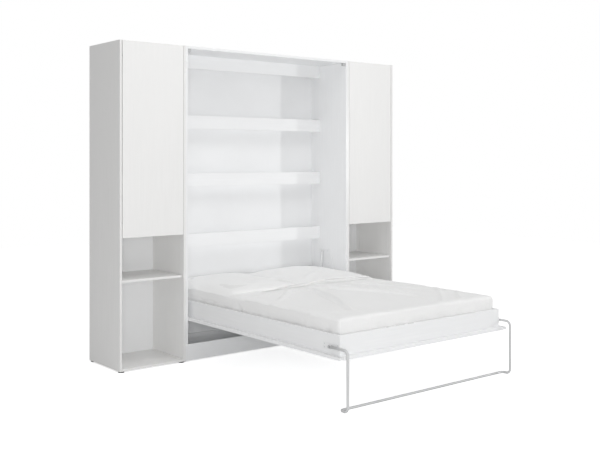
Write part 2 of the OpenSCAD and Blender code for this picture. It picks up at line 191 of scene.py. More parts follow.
def put(tree, kind, x, y, sockets=None, **settings):
    """Add a node at (x, y), with its settings, and its inputs given by name or number."""
    made = tree.nodes.new(kind)
    made.location = (x, y)
    for name, value in settings.items():
        setattr(made, name, value)
    for key, value in (sockets or {}).items():
        plug(tree, made.inputs[key], value)
    return made


def sums(tree, x, y, operation, *terms):
    """A Math node's result."""
    made = put(tree, "ShaderNodeMath", x, y, operation=operation)
    for socket, term in zip(made.inputs, terms):
        plug(tree, socket, term)
    return made.outputs[0]


def blend_colours(tree, x, y, factor, first, second, mode="MIX"):
    """A mix of two colours."""
    made = put(tree, "ShaderNodeMix", x, y, data_type="RGBA", blend_type=mode)
    plug(tree, made.inputs[0], factor)
    plug(tree, made.inputs[6], first)
    plug(tree, made.inputs[7], second)
    return made.outputs[2]


def scaled(tree, x, y, vector, factors):
    """A vector multiplied axis by axis."""
    made = put(tree, "ShaderNodeVectorMath", x, y, {0: vector, 1: factors}, operation="MULTIPLY")
    return made.outputs[0]


def cloudy(tree, x, y, vector, scale, detail=3.0, roughness=0.55):
    """Noise from 0 to 1."""
    made = put(tree, "ShaderNodeTexNoise", x, y,
               {"Vector": vector, "Scale": scale, "Detail": detail, "Roughness": roughness})
    return made.outputs[0]


def spread(tree, x, y, value, low_in, high_in, low_out=0.0, high_out=1.0):
    """A value mapped from one range to another, and clamped."""
    made = put(tree, "ShaderNodeMapRange", x, y, {
        "Value": value, "From Min": low_in, "From Max": high_in,
        "To Min": low_out, "To Max": high_out})
    return made.outputs[0]


def start_group(name, inputs, outputs, kind="ShaderNodeTree"):
    """A node group with named sockets; returns its tree, its input node and its output node."""
    tree = bpy.data.node_groups.new(name, kind)
    for label, socket_type, value in inputs:
        socket = tree.interface.new_socket(label, in_out="INPUT", socket_type=socket_type)
        if value is not None:
            socket.default_value = value
    for label, socket_type in outputs:
        tree.interface.new_socket(label, in_out="OUTPUT", socket_type=socket_type)
    return tree, put(tree, "NodeGroupInput", -1000, 0), put(tree, "NodeGroupOutput", 900, 0)


FLOAT, VECTOR = "NodeSocketFloat", "NodeSocketVector"


# ---------- shared effects ----------

def grain_group():
    """Faint pressed grain: a mask and a height, drawn out along one axis by Stretch."""
    tree, given, out = start_group(
        "Board Grain",
        [("Vector", VECTOR, None), ("Stretch", VECTOR, (1, 1, 1)), ("Scale", FLOAT, 60.0)],
        [("Mask", FLOAT), ("Height", FLOAT)])
    place = scaled(tree, -800, 100, given.outputs["Vector"], given.outputs["Stretch"])
    wander = cloudy(tree, -600, 300, place, 3.0, 2.0)
    fine = cloudy(tree, -600, 100, place, given.outputs["Scale"], 4.0, 0.6)
    streaks = sums(tree, -400, 200, "MULTIPLY_ADD", wander, 0.6, fine)
    mask = spread(tree, -200, 200, streaks, 0.55, 1.05)
    pores = cloudy(tree, -600, -150, given.outputs["Vector"], 1800.0, 1.0)
    height = sums(tree, 100, 0, "MULTIPLY_ADD", pores, 0.35, mask)
    plug(tree, out.inputs["Mask"], mask)
    plug(tree, out.inputs["Height"], height)
    return tree


def wear_group():
    """Mask of the rubbed arrises, broken up by noise."""
    tree, given, out = start_group(
        "Edge Wear", [("Vector", VECTOR, None), ("Width", FLOAT, 0.002), ("Amount", FLOAT, 1.0)],
        [("Mask", FLOAT)])
    rounded = put(tree, "ShaderNodeBevel", -700, 100, {"Radius": given.outputs["Width"]}, samples=4)
    flat = put(tree, "ShaderNodeNewGeometry", -700, -100)
    match = put(tree, "ShaderNodeVectorMath", -500, 0,
                {0: rounded.outputs[0], 1: flat.outputs["Normal"]}, operation="DOT_PRODUCT")
    edge = spread(tree, -300, 0, match.outputs["Value"], 0.995, 0.85)
    rubs = spread(tree, -300, -250, cloudy(tree, -500, -250, given.outputs["Vector"], 55.0), 0.3, 0.7)
    mask = sums(tree, -100, 0, "MULTIPLY", edge, rubs)
    plug(tree, out.inputs["Mask"], sums(tree, 100, 0, "MULTIPLY", mask, given.outputs["Amount"]))
    return tree


def weave_group():
    """Plain weave of one thread size: the threads' height, and a mask of the thicker threads."""
    tree, given, out = start_group(
        "Plain Weave", [("Vector", VECTOR, None), ("Thread", FLOAT, 0.0008)],
        [("Height", FLOAT), ("Slub", FLOAT)])
    turns = sums(tree, -800, -200, "DIVIDE", math.tau / 2, given.outputs["Thread"])
    parts = put(tree, "ShaderNodeSeparateXYZ", -800, 100, {0: given.outputs["Vector"]})
    warp = sums(tree, -400, 200, "SINE", sums(tree, -600, 200, "MULTIPLY", parts.outputs[0], turns))
    weft = sums(tree, -400, 0, "SINE", sums(tree, -600, 0, "MULTIPLY", parts.outputs[1], turns))
    over = sums(tree, -200, 100, "MULTIPLY", warp, weft)
    plug(tree, out.inputs["Height"], spread(tree, 0, 100, over, -1.0, 1.0))
    along = scaled(tree, -600, -350, given.outputs["Vector"], (400.0, 9.0, 1.0))
    across = scaled(tree, -600, -550, given.outputs["Vector"], (9.0, 400.0, 1.0))
    slubs = sums(tree, -200, -400, "MULTIPLY",
                 cloudy(tree, -400, -350, along, 1.0, 1.0), cloudy(tree, -400, -550, across, 1.0, 1.0))
    plug(tree, out.inputs["Slub"], spread(tree, 0, -400, slubs, 0.2, 0.4))
    return tree


def tone_group():
    """Slow change of tone over a surface, with fine dust in it; 0 to 1."""
    tree, given, out = start_group(
        "Soft Tone", [("Vector", VECTOR, None), ("Scale", FLOAT, 2.0)],
        [("Tone", FLOAT), ("Dust", FLOAT)])
    broad = cloudy(tree, -500, 100, given.outputs["Vector"], given.outputs["Scale"], 3.0, 0.5)
    plug(tree, out.inputs["Tone"], spread(tree, -200, 100, broad, 0.3, 0.7))
    specks = cloudy(tree, -500, -150, given.outputs["Vector"], 420.0, 2.0, 0.7)
    plug(tree, out.inputs["Dust"], spread(tree, -200, -150, specks, 0.62, 0.78))
    return tree


EFFECTS = {}


def effect(tree, name, x, y, **sockets):
    """Place one of the shared effects, which are built the first time that one is used."""
    if not EFFECTS:
        EFFECTS.update(grain=grain_group(), wear=wear_group(), weave=weave_group(), tone=tone_group())
    made = put(tree, "ShaderNodeGroup", x, y, node_tree=EFFECTS[name])
    for label, value in sockets.items():
        plug(tree, made.inputs[label], value)
    return made.outputs


# ---------- materials ----------

MADE = {}


def once(name, maker, *values):
    """The material of this name, made the first time that it is asked for."""
    if name not in MADE:
        MADE[name] = maker(name, *values)
    return MADE[name]


def start_material(name, **constants):
    """A material with its shader; returns material, tree, shader and Object coordinates."""
    material = bpy.data.materials.new(name)
    material.use_nodes = True
    tree = material.node_tree
    shader = tree.nodes["Principled BSDF"]
    shader.location = (300, 0)
    for label, value in constants.items():
        shader.inputs[label.replace("_", " ")].default_value = value
    place = put(tree, "ShaderNodeTexCoord", -1300, 0).outputs["Object"]
    return material, tree, shader, place


def raise_surface(tree, shader, height, distance, strength=1.0):
    """Bump a shader's surface by a height of 0 to 1 times distance."""
    bump = put(tree, "ShaderNodeBump", 50, -350,
               {"Height": height, "Distance": distance, "Strength": strength})
    plug(tree, shader.inputs["Normal"], bump.outputs[0])


def shade(colour, factor):
    """A colour made lighter or darker, with alpha."""
    return (*[min(1.0, channel * factor) for channel in colour[:3]], 1.0)


def stretch_along(axis, ratio=0.05):
    """Factors that draw a pattern out along one axis, x, y or z."""
    return tuple(ratio if letter == axis else 1.0 for letter in "xyz")


def melamine(name, colour, axis):
    """White melamine with a faint grain along one axis and clean, barely rubbed edges."""
    material, tree, shader, place = start_material(name, Specular_IOR_Level=0.35)
    grain = effect(tree, "grain", -900, 200, Vector=place, Stretch=stretch_along(axis), Scale=70.0)
    tone = effect(tree, "tone", -900, -50, Vector=place, Scale=1.7)
    wear = effect(tree, "wear", -900, -300, Vector=place, Width=0.0015, Amount=0.6)
    base = blend_colours(tree, -500, 200, grain["Mask"], shade(colour, 1.0), shade(colour, 0.952))
    base = blend_colours(tree, -300, 200, tone["Tone"], base, shade(colour, 0.975))
    base = blend_colours(tree, -100, 200, wear["Mask"], base, shade(colour, 1.06))
    plug(tree, shader.inputs["Base Color"], base)
    dull = spread(tree, -500, -50, grain["Mask"], 0.0, 1.0, 0.44, 0.52)
    plug(tree, shader.inputs["Roughness"], sums(tree, -100, -50, "MULTIPLY_ADD", tone["Dust"], 0.1, dull))
    raise_surface(tree, shader, grain["Height"], 0.00006)
    return material


def edge_band(name, colour):
    """Plastic edge band, glossier than the boards; its colour is set a little darker than the board white as
    painted shade on the front edges.
    """
    material, tree, shader, place = start_material(name, Specular_IOR_Level=0.5)
    tone = effect(tree, "tone", -900, 0, Vector=place, Scale=6.0)
    wear = effect(tree, "wear", -900, -300, Vector=place, Width=0.0008, Amount=0.5)
    # Painted shade: 0.955 and 0.94 of the board white stand in for shade on the boards' front edges.
    base = blend_colours(tree, -400, 200, tone["Tone"], shade(colour, 0.955), shade(colour, 0.94))
    plug(tree, shader.inputs["Base Color"],
         blend_colours(tree, -200, 200, wear["Mask"], base, shade(colour, 0.93)))
    plug(tree, shader.inputs["Roughness"], spread(tree, -400, -50, tone["Tone"], 0, 1, 0.26, 0.34))
    raise_surface(tree, shader, tone["Dust"], 0.00002)
    return material


def painted_back(name, colour):
    """Thin lacquered fibreboard: nearly smooth, with a soft mottle."""
    material, tree, shader, place = start_material(name, Specular_IOR_Level=0.4)
    tone = effect(tree, "tone", -900, 0, Vector=place, Scale=3.0)
    fibres = cloudy(tree, -900, -300, place, 650.0, 3.0, 0.7)
    plug(tree, shader.inputs["Base Color"],
         blend_colours(tree, -300, 200, tone["Tone"], shade(colour, 1.0), shade(colour, 0.975)))
    plug(tree, shader.inputs["Roughness"], spread(tree, -300, -50, fibres, 0.2, 0.8, 0.4, 0.55))
    raise_surface(tree, shader, fibres, 0.00008)
    return material


def laminated_wood(name, light, dark, axis, ply=0.0016):
    """Pale birch or poplar with plies that show on the cut edges."""
    material, tree, shader, place = start_material(name, Specular_IOR_Level=0.35)
    grain = effect(tree, "grain", -900, 200, Vector=place, Stretch=stretch_along(axis, 0.04), Scale=140.0)
    rings = cloudy(tree, -900, 0, scaled(tree, -1100, 0, place, stretch_along(axis, 0.1)), 30.0, 4.0, 0.65)
    height = put(tree, "ShaderNodeSeparateXYZ", -1100, -250, {0: place}).outputs[2]
    plies = sums(tree, -700, -250, "SINE", sums(tree, -900, -250, "MULTIPLY", height, math.tau / ply))
    wood = blend_colours(tree, -500, 200, spread(tree, -700, 0, rings, 0.35, 0.65), (*light, 1), (*dark, 1))
    wood = blend_colours(tree, -300, 200, spread(tree, -500, -250, plies, 0.2, 0.9, 0.0, 0.3),
                         wood, shade(dark, 0.7))
    plug(tree, shader.inputs["Base Color"],
         blend_colours(tree, -100, 200, grain["Mask"], wood, shade(dark, 0.9), "MULTIPLY"))
    plug(tree, shader.inputs["Roughness"], spread(tree, -300, -50, rings, 0.2, 0.8, 0.5, 0.66))
    raise_surface(tree, shader, grain["Height"], 0.00025)
    return material


def powder_coat(name, colour, gloss):
    """Baked powder coat with a fine orange peel."""
    material, tree, shader, place = start_material(name, Specular_IOR_Level=0.5, Coat_Roughness=0.15)
    shader.inputs["Coat Weight"].default_value = 0.25
    peel = cloudy(tree, -900, 0, place, 900.0, 2.0, 0.5)
    tone = effect(tree, "tone", -900, 200, Vector=place, Scale=8.0)
    wear = effect(tree, "wear", -900, -300, Vector=place, Width=0.0015, Amount=0.7)
    base = blend_colours(tree, -400, 200, tone["Tone"], shade(colour, 1.0), shade(colour, 0.95))
    plug(tree, shader.inputs["Base Color"],
         blend_colours(tree, -200, 200, wear["Mask"], base, shade(colour, 0.8)))
    plug(tree, shader.inputs["Roughness"], spread(tree, -400, -50, peel, 0.2, 0.8, gloss, gloss + 0.12))
    raise_surface(tree, shader, peel, 0.0001)
    return material


def plated_steel(name, colour, roughness, spangle):
    """Zinc plate or bright steel, with the crystals or the drawing lines of its finish."""
    material, tree, shader, place = start_material(name, Metallic=1.0)
    cells = put(tree, "ShaderNodeTexVoronoi", -900, 100, {"Vector": place, "Scale": spangle})
    lines = cloudy(tree, -900, -150, scaled(tree, -1100, -150, place, (900.0, 60.0, 60.0)), 1.0, 2.0)
    wear = effect(tree, "wear", -900, -350, Vector=place, Width=0.001, Amount=0.8)
    base = blend_colours(tree, -400, 200, cells.outputs["Distance"], shade(colour, 1.08), shade(colour, 0.85))
    plug(tree, shader.inputs["Base Color"],
         blend_colours(tree, -200, 200, wear["Mask"], base, shade(colour, 1.25)))
    plug(tree, shader.inputs["Roughness"],
         spread(tree, -400, -100, lines, 0.25, 0.75, roughness, roughness + 0.14))
    raise_surface(tree, shader, lines, 0.00003)
    return material


def moulded_plastic(name, colour, roughness):
    """Moulded plastic with a spark-eroded texture."""
    material, tree, shader, place = start_material(name, Specular_IOR_Level=0.5)
    texture = cloudy(tree, -900, 0, place, 1500.0, 2.0, 0.6)
    tone = effect(tree, "tone", -900, 200, Vector=place, Scale=12.0)
    wear = effect(tree, "wear", -900, -300, Vector=place, Width=0.0012, Amount=0.6)
    base = blend_colours(tree, -400, 200, tone["Tone"], shade(colour, 1.0), shade(colour, 0.9))
    plug(tree, shader.inputs["Base Color"],
         blend_colours(tree, -200, 200, wear["Mask"], base, shade(colour, 1.4)))
    plug(tree, shader.inputs["Roughness"],
         spread(tree, -400, -50, texture, 0.2, 0.8, roughness, roughness + 0.15))
    raise_surface(tree, shader, texture, 0.00008)
    return material


def woven_cloth(name, colour, thread, by_uv):
    """Plain woven cotton: threads, slubs, a soft sheen and slow changes of tone."""
    material, tree, shader, place = start_material(name, Specular_IOR_Level=0.2)
    shader.inputs["Sheen Weight"].default_value = 0.12
    shader.inputs["Sheen Roughness"].default_value = 0.45
    flat = put(tree, "ShaderNodeUVMap", -1300, -250, uv_map="flat").outputs[0] if by_uv else place
    weave = effect(tree, "weave", -900, 200, Vector=flat, Thread=thread)
    tone = effect(tree, "tone", -900, -50, Vector=place, Scale=3.5)
    creases = cloudy(tree, -900, -300, scaled(tree, -1100, -300, place, (1.0, 0.6, 1.0)), 34.0, 4.0, 0.55)
    base = blend_colours(tree, -500, 200, weave["Slub"], shade(colour, 1.0), shade(colour, 0.965))
    base = blend_colours(tree, -300, 200, tone["Tone"], base, shade(colour, 0.975))
    plug(tree, shader.inputs["Base Color"], base)
    plug(tree, shader.inputs["Roughness"], spread(tree, -500, -50, weave["Height"], 0, 1, 0.78, 0.92))
    height = sums(tree, -300, -300, "MULTIPLY_ADD", creases, 9.0, weave["Height"])
    raise_surface(tree, shader, height, 0.00016)
    return material


def knitted_ticking(name, colour):
    """Mattress ticking: a fine knit in pale grey and white."""
    material, tree, shader, place = start_material(name, Specular_IOR_Level=0.2)
    shader.inputs["Sheen Weight"].default_value = 0.25
    weave = effect(tree, "weave", -900, 200, Vector=place, Thread=0.0016)
    tone = effect(tree, "tone", -900, -50, Vector=place, Scale=5.0)
    base = blend_colours(tree, -500, 200, weave["Height"], shade(colour, 0.93), shade(colour, 1.0))
    plug(tree, shader.inputs["Base Color"],
         blend_colours(tree, -300, 200, tone["Tone"], base, shade(colour, 0.95)))
    plug(tree, shader.inputs["Roughness"], spread(tree, -500, -50, weave["Slub"], 0, 1, 0.8, 0.95))
    raise_surface(tree, shader, weave["Height"], 0.0004)
    return material


def white_of(kind):
    """Colour of the boards of the bed cabinet or of the towers."""
    boards = bpy.context.scene.wall_bed_boards
    return tuple(boards.cabinet_white if kind == "cabinet" else boards.tower_white)


def board_material(kind, axis):
    """The melamine of the bed cabinet or of the towers, with its grain along an axis."""
    return once(f"{kind}_board_{axis}", melamine, white_of(kind), axis)


# Maker and values of each hardware slot's finish
FINISHES = {
    "leg_paint": (powder_coat, (0.62, 0.625, 0.63), 0.36),
    "plate_paint": (powder_coat, (0.87, 0.875, 0.88), 0.42),
    "strut_paint": (powder_coat, (0.80, 0.805, 0.81), 0.3),
    "bright_steel": (plated_steel, (0.74, 0.75, 0.76), 0.16, 40.0),
    "zinc_steel": (plated_steel, (0.62, 0.64, 0.66), 0.3, 260.0),
    "black_plastic": (moulded_plastic, (0.018, 0.018, 0.019), 0.45),
    "grey_plastic": (moulded_plastic, (0.5, 0.505, 0.51), 0.5),
    "white_plastic": (moulded_plastic, (0.8, 0.8, 0.79), 0.38),
}


def finish(slot):
    """The finish of a hardware slot."""
    return once(slot, *FINISHES[slot])


def pillow_cotton():
    """The cotton of the pillow cases and of the mattress's piping."""
    return once("pillow_cloth", woven_cloth, (0.84, 0.84, 0.835), 0.0007, False)


# ---------- mesh helpers ----------

def place_object(name, data):
    """A new object in the scene."""
    made = bpy.data.objects.new(name, data)
    bpy.context.scene.collection.objects.link(made)
    return made


def to_piece(name, mesh, body, material, smooth=True):
    """Link a finished mesh as a piece that rides on a body."""
    mesh.name = name
    made = place_object(name, mesh)
    if material is not None:
        mesh.materials.clear()
        mesh.materials.append(material)
    mesh.polygons.foreach_set("use_smooth", [smooth] * len(mesh.polygons))
    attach(made, body)
    return made


def mesh_of(form):
    """The mesh of a finished bmesh."""
    mesh = bpy.data.meshes.new("form")
    form.to_mesh(mesh)
    form.free()
    return mesh


def grid_mesh(name, points, faces):
    """A mesh straight from an array of points and a list of faces."""
    mesh = bpy.data.meshes.new(name)
    mesh.from_pydata(points.tolist(), [], faces)
    return mesh


def mesh_from(verts, faces, outward=True):
    """A mesh from points and faces, with its doubles merged and its normals outward."""
    form = bmesh.new()
    points = [form.verts.new(p) for p in verts]
    for face in faces:
        form.faces.new([points[i] for i in face])
    bmesh.ops.remove_doubles(form, verts=form.verts, dist=1e-6)
    if outward:
        bmesh.ops.recalc_face_normals(form, faces=form.faces)
    return mesh_of(form)


def add_box(form, corner, opposite, radius=0.0):
    """Add a box between two corners to a bmesh, with its edges rounded by radius."""
    lo = Vector(map(min, corner, opposite))
    hi = Vector(map(max, corner, opposite))
    made = bmesh.ops.create_cube(form, size=1.0)
    for vert in made["verts"]:
        vert.co = Vector((lo[i] + (vert.co[i] + 0.5) * (hi[i] - lo[i])) for i in range(3))
    if radius > 0:
        edges = list({e for v in made["verts"] for e in v.link_edges})
        bmesh.ops.bevel(form, geom=edges, offset=radius, segments=2, profile=0.5, affect="EDGES")


def soften(piece, radius, segments=2):
    """Round the sharp edges of a piece with live modifiers, and leave its mesh alone."""
    weld = piece.modifiers.new("Join corners", "WELD")
    weld.merge_threshold = 0.00002
    bevel = piece.modifiers.new("Soft edges", "BEVEL")
    bevel.width = radius
    bevel.segments = segments
    bevel.limit_method = "ANGLE"
    bevel.angle_limit = math.radians(35)
    bevel.use_clamp_overlap = False
    bevel.harden_normals = False
    tidy = piece.modifiers.new("Flat faces", "WEIGHTED_NORMAL")
    tidy.keep_sharp = False


def rounded_path(corners, radii, steps=10):
    """A path through corner points, with a round bend of the given radius at each inner corner."""
    path = [Vector(corners[0])]
    for before, corner, after, radius in zip(corners, corners[1:], corners[2:], radii):
        corner = Vector(corner)
        to_before = (Vector(before) - corner).normalized()
        to_after = (Vector(after) - corner).normalized()
        half = to_before.angle(to_after) / 2
        centre = corner + (to_before + to_after).normalized() * radius / math.sin(half)
        start = corner + to_before * radius / math.tan(half)
        end = corner + to_after * radius / math.tan(half)
        for step in range(steps + 1):
            arm = (start - centre).normalized().slerp((end - centre).normalized(), step / steps)
            path.append(centre + arm * radius)
    path.append(Vector(corners[-1]))
    return path


def tube(path, radius, sides=20, closed=False):
    """Points and faces of a round tube along a path, capped at both ends unless it is closed."""
    count = len(path)
    verts, faces = [], []
    side = None
    for i, point in enumerate(path):
        ahead = path[(i + 1) % count] if closed or i + 1 < count else point
        behind = path[i - 1] if closed or i else point
        along = (ahead - behind).normalized()
        if side is None:
            side = along.orthogonal().normalized()
        side = (side - along * side.dot(along)).normalized()
        other = along.cross(side)
        for k in range(sides):
            turn = math.tau * k / sides
            verts.append(point + radius * (math.cos(turn) * side + math.sin(turn) * other))
    rings = count if closed else count - 1
    for i in range(rings):
        a, b = i * sides, ((i + 1) % count) * sides
        for k in range(sides):
            j = (k + 1) % sides
            faces.append((a + k, a + j, b + j, b + k))
    if not closed:
        faces.append(tuple(reversed(range(sides))))
        faces.append(tuple(range((count - 1) * sides, count * sides)))
    return verts, faces


def chamfered_bar(path, radius, sides, share):
    """A tube whose first and last rings are drawn in to a share of its radius."""
    verts, faces = tube(path, radius, sides)
    for ring in (0, len(path) - 1):
        for k in range(ring * sides, (ring + 1) * sides):
            verts[k] = path[ring] + (verts[k] - path[ring]) * share
    return verts, faces


def joined(*parts):
    """Several (points, faces) as one."""
    verts, faces = [], []
    for more_verts, more_faces in parts:
        base = len(verts)
        verts.extend(more_verts)
        faces.extend(tuple(base + i for i in face) for face in more_faces)
    return verts, faces


# ---------- geometry trees for what repeats ----------

def geometry_tree(name, inputs):
    """A geometry tree that starts from points and takes named sizes and a material."""
    sockets = [("Geometry", "NodeSocketGeometry", None), *inputs, ("Material", "NodeSocketMaterial", None)]
    return start_group(name, sockets, [("Geometry", "NodeSocketGeometry")], "GeometryNodeTree")


def finish_tree(tree, given, out, instance, spin_seed=None):
    """Set an instance on each point, turned to its facing, realise them and give the material."""
    facing = put(tree, "GeometryNodeInputNamedAttribute", 200, -300, {"Name": "facing"},
                 data_type="FLOAT_VECTOR")
    turned = put(tree, "FunctionNodeAlignRotationToVector", 350, -300,
                 {"Vector": facing.outputs[0]}, axis="Z").outputs[0]
    if spin_seed is not None:
        amount = put(tree, "FunctionNodeRandomValue", 200, -500, data_type="FLOAT")
        for socket, value in zip([s for s in amount.inputs if s.enabled], (0.0, math.tau)):
            socket.default_value = value
        amount.inputs["Seed"].default_value = spin_seed
        picked = [s for s in amount.outputs if s.enabled][0]
        spin = put(tree, "FunctionNodeAxisAngleToRotation", 350, -500,
                   {"Axis": (0, 0, 1), "Angle": picked}).outputs[0]
        turned = put(tree, "FunctionNodeRotateRotation", 500, -400,
                     {0: turned, 1: spin}, rotation_space="LOCAL").outputs[0]
    placed = put(tree, "GeometryNodeInstanceOnPoints", 550, 0, {
        "Points": given.outputs["Geometry"], "Instance": instance, "Rotation": turned})
    real = put(tree, "GeometryNodeRealizeInstances", 700, 0, {0: placed.outputs[0]})
    finished = put(tree, "GeometryNodeSetMaterial", 800, 0,
                   {"Geometry": real.outputs[0], "Material": given.outputs["Material"]})
    plug(tree, out.inputs[0], finished.outputs[0])
    return tree


def fastener_tree(name, steps, sides, seed):
    """Turned heads: each step lifts the top face by a share of the height and scales it."""
    tree, given, out = geometry_tree(
        name, [("Head Radius", FLOAT, 0.004), ("Head Height", FLOAT, 0.002)])
    disc = put(tree, "GeometryNodeMeshCircle", -900, 200,
               {"Vertices": sides, "Radius": given.outputs["Head Radius"]}, fill_type="NGON")
    under = put(tree, "GeometryNodeFlipFaces", -700, 350, {0: disc.outputs[0]}).outputs[0]
    shape, top = disc.outputs[0], None
    for i, (lift, scale) in enumerate(steps):
        rise = sums(tree, -750 + 200 * i, -150, "MULTIPLY", given.outputs["Head Height"], lift)
        grown = put(tree, "GeometryNodeExtrudeMesh", -700 + 200 * i, 100,
                    {"Mesh": shape, "Selection": top, "Offset Scale": rise, "Individual": False},
                    mode="FACES")
        top = grown.outputs["Top"]
        shape = put(tree, "GeometryNodeScaleElements", -600 + 200 * i, 100,
                    {"Geometry": grown.outputs[0], "Selection": top, "Scale": scale}).outputs[0]
    whole = put(tree, "GeometryNodeJoinGeometry", 300, 200)
    tree.links.new(shape, whole.inputs[0])
    tree.links.new(under, whole.inputs[0])
    sewn = put(tree, "GeometryNodeMergeByDistance", 400, 200, {"Geometry": whole.outputs[0]})
    return finish_tree(tree, given, out, sewn.outputs[0], seed)


def holder_tree():
    """Slat end holders: a back plate with two cheeks, opening along local -Z."""
    tree, given, out = geometry_tree("Slat Holders", [
        ("Slat Width", FLOAT, 0.06), ("Slat Thickness", FLOAT, 0.008), ("Wall", FLOAT, 0.002),
        ("Reach", FLOAT, 0.018)])
    width, thick, wall, reach = (given.outputs[i] for i in range(1, 5))
    outer = sums(tree, -800, -100, "MULTIPLY_ADD", wall, 2.0, width)
    whole = put(tree, "GeometryNodeJoinGeometry", 100, 100)
    plate_size = put(tree, "ShaderNodeCombineXYZ", -600, 200, {0: thick, 1: outer, 2: wall})
    plate = put(tree, "GeometryNodeMeshCube", -400, 200, {"Size": plate_size.outputs[0]})
    tree.links.new(plate.outputs[0], whole.inputs[0])
    cheek_size = put(tree, "ShaderNodeCombineXYZ", -600, 0, {0: thick, 1: wall, 2: reach})
    half = sums(tree, -600, -200, "MULTIPLY", sums(tree, -700, -200, "ADD", width, wall), 0.5)
    back = sums(tree, -600, -350, "MULTIPLY", reach, -0.5)
    for sign in (-1.0, 1.0):
        place = put(tree, "ShaderNodeCombineXYZ", -400, -200 * sign,
                    {1: sums(tree, -500, -200 * sign, "MULTIPLY", half, sign), 2: back})
        cheek = put(tree, "GeometryNodeMeshCube", -400, -50, {"Size": cheek_size.outputs[0]})
        moved = put(tree, "GeometryNodeTransform", -200, -200 * sign,
                    {"Geometry": cheek.outputs[0], "Translation": place.outputs[0]})
        tree.links.new(moved.outputs[0], whole.inputs[0])
    return finish_tree(tree, given, out, whole.outputs[0])


# Steps of a pan head with a socket, a smooth nail head and a flat cover cap
HEAD_SHAPES = {
    "Screws": ([(0.4, 1.0), (0.4, 0.82), (0.2, 0.8), (0.0, 0.75), (-0.6, 0.8)], 16, 11),
    "Nails": ([(0.5, 1.0), (0.5, 0.7)], 10, None),
    "Cover Caps": ([(0.5, 1.0), (0.3, 0.96), (0.2, 0.85)], 24, None),
}
TREES = {}


def repeat(name, kind, body, spots, material, slot, **sizes):
    """Set one kind of repeated small part on spots, each a (place, facing), as one piece."""
    if kind not in TREES:
        TREES[kind] = fastener_tree(kind, *HEAD_SHAPES[kind]) if kind in HEAD_SHAPES else holder_tree()
    mesh = bpy.data.meshes.new(name + "_points")
    mesh.from_pydata([place for place, _ in spots], [], [])
    facing = mesh.attributes.new("facing", "FLOAT_VECTOR", "POINT")
    facing.data.foreach_set("vector", [c for _, way in spots for c in way])
    source = place_object(name + "_points", mesh)
    modifier = source.modifiers.new(kind, "NODES")
    modifier.node_group = TREES[kind]
    sockets = {s.name: s.identifier for s in TREES[kind].interface.items_tree if s.in_out == "INPUT"}
    modifier[sockets["Material"]] = material
    for label, value in sizes.items():
        modifier[sockets[label.replace("_", " ")]] = value
    graph = bpy.context.evaluated_depsgraph_get()
    plain = bpy.data.meshes.new_from_object(source.evaluated_get(graph))
    bpy.data.objects.remove(source)
    bpy.data.meshes.remove(mesh)
    if "facing" in plain.attributes:
        plain.attributes.remove(plain.attributes["facing"])
    return to_piece(name, plain, body, material, smooth=False)


def span(start, end, count):
    """Evenly spaced values from start to end."""
    return [start + (end - start) * i / (count - 1) for i in range(count)]


# ---------- boards ----------

# The grain of each board runs along its longest side
GRAIN_OF = {"cabinet_board": "cabinet", "tower_board": "tower"}


def slot_of(node):
    """The record's material slot of a CAD node."""
    for part in frame["record"]["subparts"]:
        if part["node"] == node:
            return part["material_slot"]
    raise ValueError(f"no sub-part named {node}")


def nodes_of(*slots):
    """The CAD nodes that use these material slots."""
    return [p["node"] for p in frame["record"]["subparts"] if p["material_slot"] in slots]


def longest_axis(node):
    """Letter of the axis along which a node's boards are longest."""
    size = high(node) - low(node)
    return "xyz"[max(range(3), key=lambda i: size[i])]


def dress(node, material):
    """Give a CAD node a finished material."""
    piece = NODES[node]
    for material_slot in piece.material_slots:
        material_slot.link = "OBJECT"
        material_slot.material = material


def finish_boards():
    """Melamine, lacquered backs and wood on the CAD boards, with softened edges."""
    radius = bpy.context.scene.wall_bed_boards.edge_radius
    pale, dark = (0.72, 0.56, 0.38), (0.56, 0.4, 0.25)
    for node in nodes_of(*GRAIN_OF):
        dress(node, board_material(GRAIN_OF[slot_of(node)], longest_axis(node)))
        soften(NODES[node], radius)
    for node in nodes_of("back_board"):
        # All backs are lacquered white. The towers' backs take the lighter bed cabinet white instead of the
        # tower white, and that extra lightness is painted light in the shaded niches.
        dress(node, once("back_board", painted_back, white_of("cabinet")))
    for node in nodes_of("slat_wood"):
        axis = "x" if node == "slats" else "y"
        dress(node, once(f"slat_wood_{axis}", laminated_wood, pale, dark, axis))
        soften(NODES[node], radius)


def band_box(form, node, side, thickness, inset=0.0002):
    """Add the edge band on one side of a board: -y, +y, -x, +x, -z or +z."""
    axis = "xyz".index(side[1])
    sign = 1 if side[0] == "+" else -1
    lo, hi = low(node).copy(), high(node).copy()
    face = (hi if sign > 0 else lo)[axis]
    for i in range(3):
        lo[i] += inset
        hi[i] -= inset
    lo[axis], hi[axis] = sorted((face - sign * 0.0004, face + sign * thickness))
    add_box(form, lo, hi, thickness * 0.45)


def edge_bands(name, body, kind, spots):
    """One piece with the edge bands of several boards, each given as (node, side)."""
    thickness = bpy.context.scene.wall_bed_boards.band_thickness
    form = bmesh.new()
    for node, side in spots:
        band_box(form, node, side, thickness)
    material = once(f"{kind}_edge_band", edge_band, white_of(kind))
    return to_piece(name, mesh_of(form), body, material, smooth=False)


